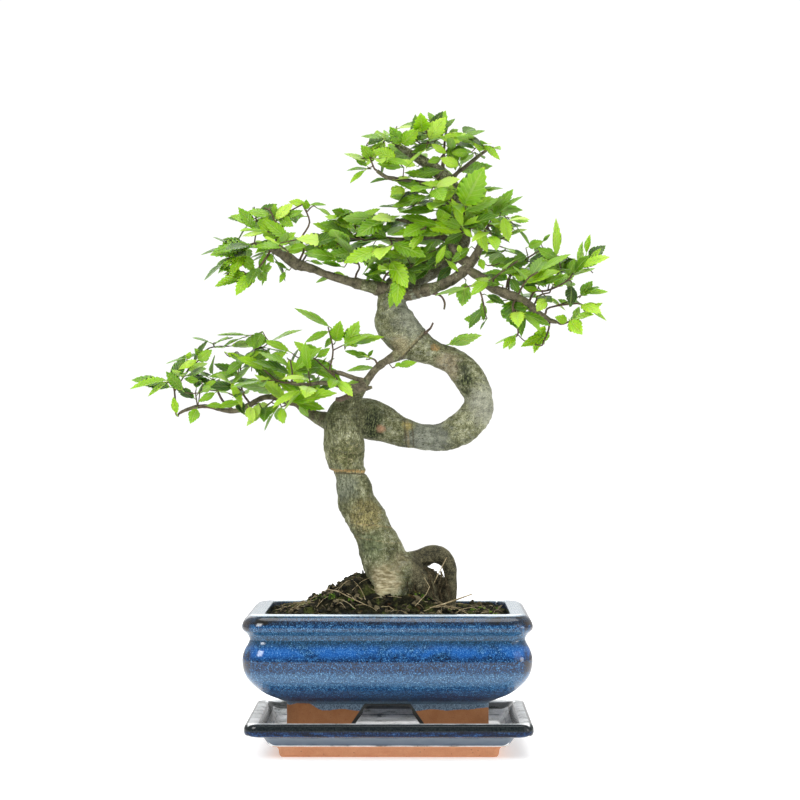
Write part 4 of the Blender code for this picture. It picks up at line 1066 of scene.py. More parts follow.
@dataclass
class Soil:
    """The soil and what lies on it: crumbs, bark chips, straws, root fibres and moss. Sizes in millimetres."""

    voxel: float = 0.95
    surface_low: float = 73.2
    chip_count: int = 620
    straw_count: int = 80
    fibre_count: int = 120
    moss_spots: tuple[tuple[float, float, float, int], ...] = (
        (18, -12, 5, 34), (-34, -16, 5, 22), (-20, -22, 3, 10), (34, -18, 5, 14), (-48, 8, 9, 40), (12, 22, 8, 50),
        (48, 6, 9, 30), (-8, 30, 8, 40), (56, -24, 5, 7), (-60, -30, 5, 8),
    )
    long_straws: tuple[Route, ...] = (
        ((22, -30, 79.5, 0.34), (30, -29, 81.6, 0.4), (38, -26, 84.2, 0.42), (45, -24, 86.6, 0.3)),
        ((14, -24, 80, 0.2), (20, -20, 86, 0.22), (22, -17, 90, 0.2), (19, -15, 95, 0.16)),
        ((-34, -22, 89, 0.2), (-28, -23, 88, 0.24), (-20, -24, 84, 0.26), (-12, -26, 80.5, 0.2)),
        ((31.5, -5.5, 105.5, 0.22), (27.5, -6.5, 97.5, 0.28), (24, -8, 90.5, 0.22), (21, -10, 84, 0.18)),
    )
    chip_sizes: tuple[Row, ...] = ((3.1, 1.5, 0.7), (2.2, 1.7, 0.9), (4.2, 1.1, 0.6), (1.7, 1.3, 1.0))
    middle_x: float = -0.8
    rim_x: float = 62.0
    rim_y: float = 43.0
    above: float = 112.0
    lowest: float = 70.0
    draw: random.Random = field(default_factory=lambda: random.Random(SEED))
    tree: BVHTree = field(init=False)

    def build(self, node: Object) -> Object:
        """Remesh a merged copy of the packed soil finely and roughen its open surface."""
        bed = cleaned(linked("soil_bed", node.data.copy()))
        applied(bed, "REMESH", mode="VOXEL", voxel_size=self.voxel * MM)
        lifted(bed.data, self.crumb)
        smoothed(bed, 80)
        self.tree = tree_of(bed)
        return settled(bed, Earth().material(), Slot.SOIL, ["soil"])

    def crumb(self, place: Vector, normal: Vector) -> float:
        """Height of the crumbs at a place of the soil's open surface."""
        if place.z < self.surface_low or normal.z < 0.05:
            return 0.0
        clod = abs(noise.noise(place / 2.6 + Vector((3, 1, 9)))) * 2.4
        return noise.noise(place / 5.5) * 1.2 + clod + abs(noise.noise(place / 1.3)) * 1.0 - 0.9

    def ground(self, x: float, y: float, wood: BVHTree) -> tuple[Vector, Vector] | None:
        """The soil's surface under a place.

        Args:
            x: Place to the right, in millimetres.
            y: Place to the back, in millimetres.
            wood: Search tree of the trunk.

        Returns:
            The place and the normal, or None where the pot's edge or the trunk is met first.
        """
        if abs(x - self.middle_x) > self.rim_x or abs(y) > self.rim_y:
            return None
        start = Vector((x, y, self.above)) * MM
        spot, normal, _, _ = self.tree.ray_cast(start, Vector((0, 0, -1)))
        blocked, _, _, _ = wood.ray_cast(start, Vector((0, 0, -1)))
        if spot is None or spot.z < self.lowest * MM or (blocked is not None and blocked.z > spot.z):
            return None
        return spot, normal

    def scatter(self, wood: BVHTree) -> tuple[Vector, Vector]:
        """A free place anywhere on the soil, more of them in front."""
        while True:
            x = self.draw.uniform(-self.rim_x, self.rim_x) + self.middle_x
            y = self.draw.triangular(-self.rim_y, self.rim_y, -self.rim_y * 0.6)
            found = self.ground(x, y, wood)
            if found is not None:
                return found

    def chip_forms(self) -> list[Mesh]:
        """Four flat flakes with broken outlines."""
        forms = []
        for size in self.chip_sizes:
            deselect()
            bpy.ops.mesh.primitive_ico_sphere_add(subdivisions=1, radius=1.0)
            made = started("chip_form")
            bpy.ops.object.mode_set(mode="EDIT")
            bpy.ops.transform.resize(value=tuple(side * MM for side in size))
            deselect()
            for vertex in made.data.vertices:
                vertex.co *= self.draw.uniform(0.7, 1.3)
            smoothed(made, 25)
            forms.append(made.data)
            bpy.data.objects.remove(made)
        return forms

    def lying(self, spot: Vector, normal: Vector) -> Matrix:
        """A frame that stands on the soil at a place, turned about its normal at random."""
        turn = normal.to_track_quat("Z", "Y").to_matrix().to_4x4()
        return Matrix.Translation(spot) @ turn @ Matrix.Rotation(self.draw.uniform(0, math.tau), 4, "Z")

    def chips(self, wood: BVHTree) -> Object:
        """Bark chips and crumbs scattered over the soil, flat or leaning."""
        forms = self.chip_forms()
        copies = []
        for _ in range(self.chip_count):
            spot, normal = self.scatter(wood)
            tilt = Matrix.Rotation(self.draw.gauss(0, 0.45), 4, "X") @ Matrix.Rotation(self.draw.gauss(0, 0.45), 4, "Y")
            lying = self.lying(spot, normal)
            size = self.draw.choice((0.45, 0.6, 0.8, 1.0, 1.25))
            form = self.draw.choice(forms)
            made = placed("chip", form, lying @ tilt @ Matrix.Scale(size, 4))
            marked(made.data, "Bit", self.draw.random())
            copies.append(made)
        finish = Crumbs("bark_chips", (0.004, 0.004, 0.002), (0.020, 0.018, 0.009), (0.14, 0.115, 0.065), by_bit=True)
        return settled(joined("soil_chips", copies), finish.material(), Slot.SOIL)

    def strand(self, start: Vector, heading: float, length: float, rise: float, radius: float) -> Route:
        """A thin curved strand from a place in millimetres."""
        bend = self.draw.uniform(-0.5, 0.5)
        points = []
        for i in range(7):
            t = i / 6
            angle = heading + bend * t
            x = start.x + length * t * math.cos(angle)
            y = start.y + length * t * math.sin(angle)
            lift = rise * math.sin(t * math.pi * 0.8) + self.draw.uniform(-0.25, 0.25)
            points.append((x, y, start.z + lift, radius * (1 - 0.45 * t)))
        return tuple(points)

    def straws(self, wood: BVHTree) -> Object:
        """Dry tan straws and needles lying on the soil and sticking out of it."""
        routes = []
        for _ in range(self.straw_count):
            spot, _ = self.scatter(wood)
            start = spot / MM
            heading = self.draw.gauss(0, 0.9) + self.draw.choice((0, math.pi))
            length = self.draw.uniform(5, 17)
            end = self.ground(start.x + length * math.cos(heading), start.y + length * math.sin(heading), wood)
            if end is None:
                continue
            slope = end[0].z / MM - start.z
            route = self.strand(start, heading, length, self.draw.uniform(0.6, 3.0), self.draw.uniform(0.11, 0.24))
            routes.append(tuple((x, y, z + 0.4 + slope * i / 6, r) for i, (x, y, z, r) in enumerate(route)))
        routes += self.long_straws
        finish = Crumbs("dry_straw", (0.13, 0.095, 0.045), (0.34, 0.27, 0.15), (0.66, 0.58, 0.40), 5, 0.1)
        return settled(smoothed(tubes("straws", routes, 4), 60), finish.material(), Slot.SOIL)

    def fibres(self) -> Object:
        """Fine root fibres that hang from the arching root and over the trunk's foot."""
        routes = []
        for _ in range(self.fibre_count):
            x = self.draw.uniform(10, 31)
            top = 99 - abs(x - 18) * 0.3 + self.draw.uniform(-9, 2)
            y = self.draw.uniform(-9.5, -4) if x < 24 else self.draw.uniform(-6, 1)
            fall = self.draw.uniform(8, 18)
            drift = self.draw.uniform(-4, 6)
            points = []
            for i in range(6):
                t = i / 5
                sway = self.draw.uniform(-0.7, 0.7)
                points.append((x + drift * t + sway, y - 4.5 * t + sway, top - fall * t, 0.34 - 0.16 * t))
            routes.append(tuple(points))
        finish = Crumbs("root_fibres", (0.010, 0.008, 0.004), (0.045, 0.036, 0.018), (0.20, 0.16, 0.09), 3, 0.1)
        return settled(smoothed(tubes("root_fibres", routes, 4), 60), finish.material(), Slot.BARK)

    def moss(self, wood: BVHTree) -> Object:
        """Tufts of moss: little stars of pointed leaves in a few patches."""
        deselect()
        blades = []
        for i in range(6):
            turn = i / 6 * math.tau
            bpy.ops.mesh.primitive_cone_add(
                vertices=4, radius1=0.32 * MM, radius2=0, depth=1.9 * MM,
                location=(0.45 * MM * math.cos(turn), 0.45 * MM * math.sin(turn), 0.6 * MM),
                rotation=(0.55 * math.sin(turn), 0.55 * math.cos(turn), 0),
            )
            blades.append(started("moss_blade"))
        tuft = joined("moss_form", blades)
        bpy.ops.object.transform_apply(location=True, rotation=True, scale=True)
        form = tuft.data
        bpy.data.objects.remove(tuft)
        copies = []
        for x, y, spread, count in self.moss_spots:
            for _ in range(count):
                found = self.ground(self.draw.gauss(x, spread / 2), self.draw.gauss(y, spread / 2), wood)
                if found is None:
                    continue
                lying = self.lying(*found)
                made = placed("tuft", form, lying @ Matrix.Scale(self.draw.uniform(0.5, 1.15), 4))
                marked(made.data, "Bit", self.draw.random())
                copies.append(made)
        finish = Crumbs("moss_green", (0.020, 0.055, 0.006), (0.075, 0.17, 0.012), (0.26, 0.40, 0.05), 2, 0.2, True)
        return settled(joined("moss", copies), finish.material(), Slot.SOIL)


def dress_screens(nodes: dict[str, Object]) -> None:
    """Give the two hidden plastic screens their material."""
    material = Plastic().material()
    for name in ("drain_mesh_left", "drain_mesh_right"):
        nodes[name].data.materials.clear()
        nodes[name].data.materials.append(material)
        LOG.info("%s: packed solid with its own finish", name)


# ---- Wood ------------------------------------

# Tube routes of the wood: points x, y, z and the radius, in millimetres
TRUNK_LOWER: Route = (
    (5, 2, 62, 8), (4.6, 1, 70, 12), (4, 0, 78, 14), (3, 0, 86, 14.2), (0.2, 0, 95, 13.2), (-2.4, 0, 103, 12),
    (-4.9, 0, 110, 11.2), (-9.8, -1, 120, 10.3), (-14.5, -1, 129, 10.4), (-17.3, -2, 136, 10.4),
    (-19.3, -2, 144, 9.8), (-21.8, -3, 151.5, 8.3), (-23.6, -3, 157.5, 10), (-24.9, -3, 165, 11.3),
    (-25.2, -3, 173, 11), (-24.6, -2, 181, 11.2), (-22.4, -1, 187, 9.4), (-20, 0, 191.5, 5.6),
)
TRUNK_UPPER: Route = (
    (-21, 1, 183.5, 10), (-13, 5, 184, 10.8), (-5.5, 8, 181.6, 10.4), (1, 8, 178.3, 9.4), (8, 6, 175, 8.3),
    (17, 4, 172.4, 7.4), (26, 2, 171.8, 7.4), (34, 0, 173.8, 8.1), (41, -2, 178, 8.9), (47, -3, 184, 8.8),
    (49.7, -3, 192, 7.8), (46.8, -2, 200.5, 8.2), (41, 0, 208.5, 8.2), (33, 2, 214.6, 7.2), (25, 3, 218, 6.9),
    (18, 3, 220.8, 8.3), (12, 2, 224.6, 9.9), (7.3, 1, 230, 11.2), (3.8, 0, 236.5, 11.3), (2.5, 0, 242.5, 9),
    (2.2, 0, 248, 7.7), (3.6, 1, 254, 7.3), (9, 3, 258, 6.9), (17, 5, 262, 6.4), (26, 6, 267, 5.9),
    (34, 6, 272.5, 5.6), (39, 5, 280, 5.3), (40.5, 4, 290, 4.9), (38.5, 3, 301, 4.5), (34.5, 2, 310.5, 4.2),
    (28, 1, 317.5, 3.8), (19, 0, 324, 3), (10, 0, 329.5, 2.2), (3.3, 0, 333.8, 1.5),
)
BRANCHES: dict[str, Route] = {
    "root_arch": (
        (6, 2, 101, 6), (13, 2, 105.3, 5.2), (19, 1, 106.8, 5.2), (25.5, 0, 106.7, 5.1), (31, -1, 103.4, 4.4),
        (33.6, -1, 96.5, 3.6), (33.9, -1, 88, 3.4), (33.2, -1, 78, 3.6), (33, -1, 68, 2.6),
    ),
    "root_mass": ((5, -2, 101, 9), (12, -4, 96, 8), (19, -5, 88, 7), (23, -6, 78, 5.4), (25, -6, 66, 3.6)),
    "root_fibres": ((10, 2, 98, 6), (19, 2, 94, 5.6), (27, 1, 89.5, 5), (30, 0, 79, 4.6)),
    "root_front": ((0, -4, 92, 8), (-4, -11, 83, 5.6), (-7, -16, 74, 4), (-9, -19, 66, 3)),
    "root_back": ((4, 4, 92, 8), (8, 12, 83, 5.6), (11, 17, 74, 4), (13, 20, 66, 3)),
    "left": (
        (3, 0, 252, 5.5), (-5, -2, 254.8, 4.1), (-10, -4, 256.3, 3.6), (-17, -6, 258, 3.1), (-25, -8, 259.8, 2.5),
        (-34, -9, 262.3, 2.2), (-42, -9, 264.8, 2.2), (-48, -9, 266, 2.9), (-52, -9, 267.5, 3.4), (-57, -9, 271, 2.8),
        (-63, -8, 274.5, 2), (-69, -7, 277, 1.5), (-74, -6, 278.6, 1),
    ),
    "right": (
        (5, 0, 252, 5.5), (14, -5, 251.7, 3.9), (23, -8, 253.5, 3.2), (32, -10, 257, 2.9), (39.5, -10, 262, 2.9),
        (45, -9, 268, 2.7), (49, -8, 274.5, 2.2), (50.5, -6, 281, 1.4),
    ),
    "right_pad": (
        (42, -10, 264.5, 2.4), (50, -13, 260, 2.7), (56, -14, 255, 2.6), (63, -14, 252, 2.6), (70, -13, 249, 2.5),
        (76, -12, 245.5, 2.3), (81, -11, 240.5, 2.1), (87, -10, 236.5, 1.6), (92, -9, 235, 1),
    ),
    "low_a": (
        (-24, 0, 178, 7), (-33, 1, 181, 5), (-40, 3, 183.2, 3.4), (-46, 4, 186, 2.4), (-52, 5, 190, 1.8),
        (-59, 6, 191.5, 1.6), (-66, 7, 194, 1.6), (-73, 8, 192.5, 1.5), (-79, 8, 189, 1.5), (-86, 8, 186.2, 1.4),
        (-93, 8, 186.7, 1.3), (-100, 7, 188.5, 1.2), (-107, 7, 188.5, 1.1), (-113, 7, 186.8, 1),
        (-117, 7, 184.8, 0.8),
    ),
    "low_b": (
        (9, 2, 220, 4.5), (2, -6, 215.8, 3), (-4, -9, 211.8, 2.3), (-9, -12, 206.8, 2), (-13, -14, 201.5, 2.2),
        (-18, -15, 198.7, 2.2), (-24, -16, 199.5, 1.6), (-31, -16, 201, 1.4), (-38, -17, 201.5, 1.2),
        (-45, -17, 200.5, 1.1), (-54, -17, 201.5, 1),
    ),
    "low_b_upper": (
        (-12.5, -14, 202.3, 1.6), (-17, -14.5, 203.6, 1.4), (-22, -15, 205, 1.3), (-27, -15, 207, 1.2),
        (-31, -15, 208, 0.9),
    ),
    "stub_low": ((-20, -15, 197, 2), (-14.5, -15, 198.2, 1.5), (-9.4, -14, 199.3, 0.9)),
    "trunk_foot": (
        (-22.5, -5, 184, 6), (-20.6, -9, 190, 4.4), (-17.6, -12, 195.2, 3.4), (-14.6, -13.6, 200, 2.8),
        (-12, -13.6, 203.4, 2.2),
    ),
    "stub_high": ((45, -9, 267, 2.6), (40.5, -8, 269.5, 3), (36.5, -7, 273.5, 2.8), (33.5, -7, 278.5, 2.1)),
    "knob": ((-19, -15, 198, 1.8), (-22, -15, 194.8, 1.5), (-27, -15, 192.6, 1.4), (-29.5, -15, 192.8, 1)),
    "crown_right": (
        (33, 2, 312.5, 2.4), (37, 2, 317.5, 1.2), (43, 2, 322.5, 1.1), (49, 2, 327.2, 1), (53.5, 2, 330.5, 0.8),
    ),
    "crown_left": (
        (33, 2, 312, 2.4), (22, -4, 311.5, 1.4), (12, -7, 312.5, 1.3), (3, -8, 314, 1.3), (-2, -8, 315, 1.1),
        (-7, -8, 318.5, 1),
    ),
    "mid_low": (
        (37, 4, 279, 2.6), (28, 0, 282.5, 1.5), (16, -4, 281.3, 1.3), (6, -6, 280.6, 1.2), (-4, -7, 281.3, 1.1),
        (-10, -8, 280.2, 0.9),
    ),
    "mid_high": ((39, 4, 290, 2.4), (30, -2, 291.5, 1.4), (16, -6, 290.2, 1.2), (6.5, -8, 291, 0.9)),
    "mid_top": ((38, 3, 301, 2.4), (30, -2, 300, 1.3), (20, -4, 298.8, 1.1), (14, -5, 297.3, 0.9)),
    "curl": ((23, -8, 251.6, 1.4), (28, -9, 249.6, 0.6), (30.3, -9, 245.8, 0.6), (30, -9, 242, 0.5)),
    "scar_twig": ((17, -1, 226, 1.6), (20.5, -1, 230, 0.8), (22.6, -1, 232, 0.6), (24, -1, 235, 0.5)),
    "bare_low": ((-88, 8, 187, 0.9), (-93, 4, 192, 0.7), (-96, 2, 198.5, 0.6)),
    "bare_crown": ((29, 1, 317, 1.4), (30, 4, 329, 0.8), (31, 4, 340, 0.6), (33, 4, 346, 0.5)),
}
# Corrections of the wood against its solid, by route and number of the point: x, z and radius in millimetres
SHIFTS: dict[str, dict[int, Row]] = {
    "trunk_lower": {
        5: (-0.4, 0, 0.8), 6: (-0.1, 0, 0.8), 7: (0.4, 0, 0.4), 8: (0.2, 0, 0.2), 9: (-0.5, 0, 0.1), 10: (-0.6, 0, 0),
        11: (0.2, 0, 0), 12: (0.2, 0, -0.2),
    },
    "trunk_upper": {
        0: (0, -0.5, 0), 1: (0, -2.1, 0.6), 2: (0, -2, 0.3), 3: (0, -1.6, -0.3), 4: (0, -0.9, -0.3),
        5: (0, -0.4, -0.1), 6: (0, -0.4, 0.1), 7: (0, -0.8, 0.3), 8: (0.3, -0.5, 0.2), 9: (-0.2, 0, 0.1),
        10: (-0.6, 0, 0.3), 11: (-0.6, 0, 0.3), 12: (-0.4, 0, 0.1), 17: (-1, 0, 0), 18: (-1.2, 0, 0),
        19: (-1.3, 0, 0), 20: (-1, 0, 0),
    },
    "root_arch": {1: (0, -1.9, 0), 2: (0, -1.4, 0), 3: (0, 0.1, 0), 4: (0.3, 0.6, 0.1)},
    "left": {1: (0, -1.2, 0), 2: (0, -1.5, 0), 3: (0, -1.7, 0), 4: (0, -1.6, 0), 5: (0, -1.3, 0), 6: (0, -0.5, 0)},
    "right_pad": {
        1: (0, -0.5, 0), 2: (0, -1, 0.2), 3: (0, -1.1, 0.2), 4: (0, -1, 0.2), 5: (0, -0.9, 0.2), 6: (0, -0.3, 0.1),
    },
    "low_a": {1: (0, -0.8, 0.3), 2: (0, -0.6, 0.3), 3: (0, -0.4, 0.3), 4: (0, 0, 0.1)},
    "low_b": {
        0: (0.4, -0.2, 0), 1: (0.2, 0, -0.1), 2: (-0.2, 0.2, -0.1), 3: (-0.4, 0.2, 0), 4: (-0.4, 0.2, 0.1),
        5: (0.4, 0.2, 0), 6: (0, 0, 0.2), 7: (0, 0, 0.1),
    },
}


@dataclass
class Wood:
    """The trunk, roots and branches. Sizes in millimetres; bumps with a negative height are hollows."""

    collars: tuple[str, ...] = ("left", "right", "low_a", "low_b")
    collar_radius: float = 2.7
    voxel: float = 0.66
    full_relief: float = 7.0
    thin: tuple[str, ...] = ("curl", "scar_twig", "bare_low", "bare_crown", "knob")
    rugged: tuple[tuple[Place, float], ...] = (
        ((-24, -8, 163), 13), ((-14, -8, 126), 17), ((10, -8, 95), 14), ((24, -2, 98), 13), ((6, -4, 236), 13),
    )
    bumps: tuple[tuple[Place, float, float], ...] = (
        ((-9.5, -4, 177), 6.5, -2.8), ((40, -11, 205), 4.5, -1.9), ((42, -10, 198), 4, -1.6),
        ((38, -10, 210), 3, -1.2), ((46.5, -8, 205), 3.4, 0.9), ((34.5, -9, 214), 3, 0.8), ((9, -12, 86), 5, -1.6),
        ((-4.4, -4, 175.4), 3.2, 1.4), ((-24, -13, 168), 9, 0.7), ((24, -4.5, 222), 2.6, 0.7),
        ((9, -10, 99), 5, 1.2), ((-19, -10, 144), 4, 0.5), ((-1, -12, 93), 7, 0.5), ((-31, -4, 139), 3, -0.8),
        ((-7, -4, 127), 4, 0.9), ((13, -9, 243), 3, -0.6), ((17, -12, 90), 3, 0.9), ((3, -15, 84), 3, 0.8),
        ((-29, -5, 132), 3.5, 0.8), ((-3, -5, 131), 3, 1.3), ((-6, -6, 137), 4, -0.6),
    )

    branches: dict[str, Route] = field(default_factory=dict)
    near: KDTree = field(init=False)
    radii: list[float] = field(init=False)
    tree: BVHTree = field(init=False)

    def __post_init__(self) -> None:
        """Correct the routes of the solid after the photograph."""
        for name, route in {"trunk_lower": TRUNK_LOWER, "trunk_upper": TRUNK_UPPER, **BRANCHES}.items():
            points = []
            for i, (x, y, z, radius) in enumerate(route):
                aside, up, more = SHIFTS.get(name, {}).get(i, (0, 0, 0))
                points.append((x + aside, y, z + up, radius + more))
            self.branches[name] = tuple(points)

    def collar(self, route: Route) -> Route:
        """The thick start of a branch, with its end sunk into the branch's own tube."""
        count = next(i for i, point in enumerate(route) if point[3] < self.collar_radius)
        *kept, last = route[: max(2, count + 1)]
        return (*kept, (*last[:3], last[3] * 0.6))

    def trunk(self) -> Object:
        """Trunk, roots and branch collars as one skin with bark relief."""
        routes = []
        for name, route in self.branches.items():
            if name.startswith(("root", "trunk")):
                routes.append(tuple(curved(route, 4)))
            elif name in self.collars:
                routes.append(tuple(curved(self.collar(route), 4)))
        parts = [tubes("trunk_tube", [route], 20) for route in routes]
        made = joined("trunk", parts)
        applied(made, "REMESH", mode="VOXEL", voxel_size=self.voxel * MM)
        applied(made, "SMOOTH", factor=0.5, iterations=3)
        spots = [point for route in routes for point in route]
        self.near = points_tree([Vector(point[:3]) for point in spots])
        self.radii = [point[3] for point in spots]
        lifted(made.data, self.relief)
        smoothed(made, 70)
        self.tree = tree_of(made)
        return settled(made, Bark().material(), Slot.BARK, ["wood"])

    def relief(self, place: Vector, normal: Vector) -> float:
        """Height of the bark, its wrinkles, rings and hollows at a place of the skin."""
        radius = self.radii[self.near.find(place)[1]]
        rugged = 0.6
        for centre, reach in self.rugged:
            rugged += max(0.0, 1.2 - 1.2 * ((place - Vector(centre)).length / reach) ** 2)
        lift = 0.75 * noise.noise(place / 8.5) + 0.46 * rugged * noise.noise(place / 3.2)
        lift += 0.5 * rugged * (0.25 - abs(noise.noise(place / 1.9 + Vector((7, 3, 1)))))
        wrinkle = math.sin((place.z * 1.1 + place.x * 0.7) * 1.5 + 4 * noise.noise(place / 11))
        lift += 0.16 * wrinkle * max(0.0, noise.noise(place / 19 + Vector((5, 0, 0))) + 0.2)
        return lift * min(1.0, radius / self.full_relief) + self.marks(place)

    def marks(self, place: Vector) -> float:
        """Height of this trunk's rings, hollows and scars at a place."""
        x, y, z = place
        height = 0.0
        if -36 < x < -8 and 140 < z < 165:
            ring = z + 0.04 * x + 1.2 * noise.noise(place / 6)
            height += 0.55 * math.exp(-((ring - 153.6) / 1.0) ** 2) - 0.75 * math.exp(-((ring - 151.3) / 0.9) ** 2)
        if 3 < x < 24 and 214 < z < 234:
            slant = 0.735 * x - 0.678 * z + noise.noise(place / 5)
            height += 0.5 * math.exp(-((slant + 142.8) / 1.0) ** 2) - 0.7 * math.exp(-((slant + 141.3) / 0.8) ** 2)
        for centre, radius, depth in self.bumps:
            apart = (place - Vector(centre)).length / radius
            if apart < 2:
                height += depth * math.exp(-apart * apart * 1.4) * (1 + 0.6 * noise.noise(place / 1.8))
        return height

    def limbs(self) -> Object:
        """The branches as slightly knotty tubes that start inside the trunk."""
        noise.seed_set(SEED)  # noise_vector is new in every run without it
        routes = []
        for name, route in self.branches.items():
            if name.startswith(("root", "trunk")) or name in self.thin:
                continue
            knotty = []
            for x, y, z, radius in curved(route, 5):
                place = Vector((x, y, z))
                swell = 1 + 0.16 * noise.noise(place / 3.2) + 0.10 * noise.noise(place / 1.1)
                shift = 0.25 * noise.noise_vector(place / 4)
                knotty.append((x + shift.x, y + shift.y, z + shift.z, radius * swell))
            routes.append(tuple(knotty))
        made = smoothed(tubes("branches", routes, 12), 60)
        finish = TwigBark("branch_bark", (0.026, 0.022, 0.012), (0.185, 0.162, 0.100))
        return settled(made, finish.material(), Slot.BARK)

    def snags(self) -> Object:
        """The bare twigs."""
        routes = [tuple(curved(self.branches[name], 4)) for name in self.thin]
        made = smoothed(tubes("bare_twigs", routes, 8), 60)
        finish = TwigBark("snag_bark", (0.035, 0.024, 0.016), (0.16, 0.115, 0.08))
        return settled(made, finish.material(), Slot.BARK)


# ---- Foliage ---------------------------------

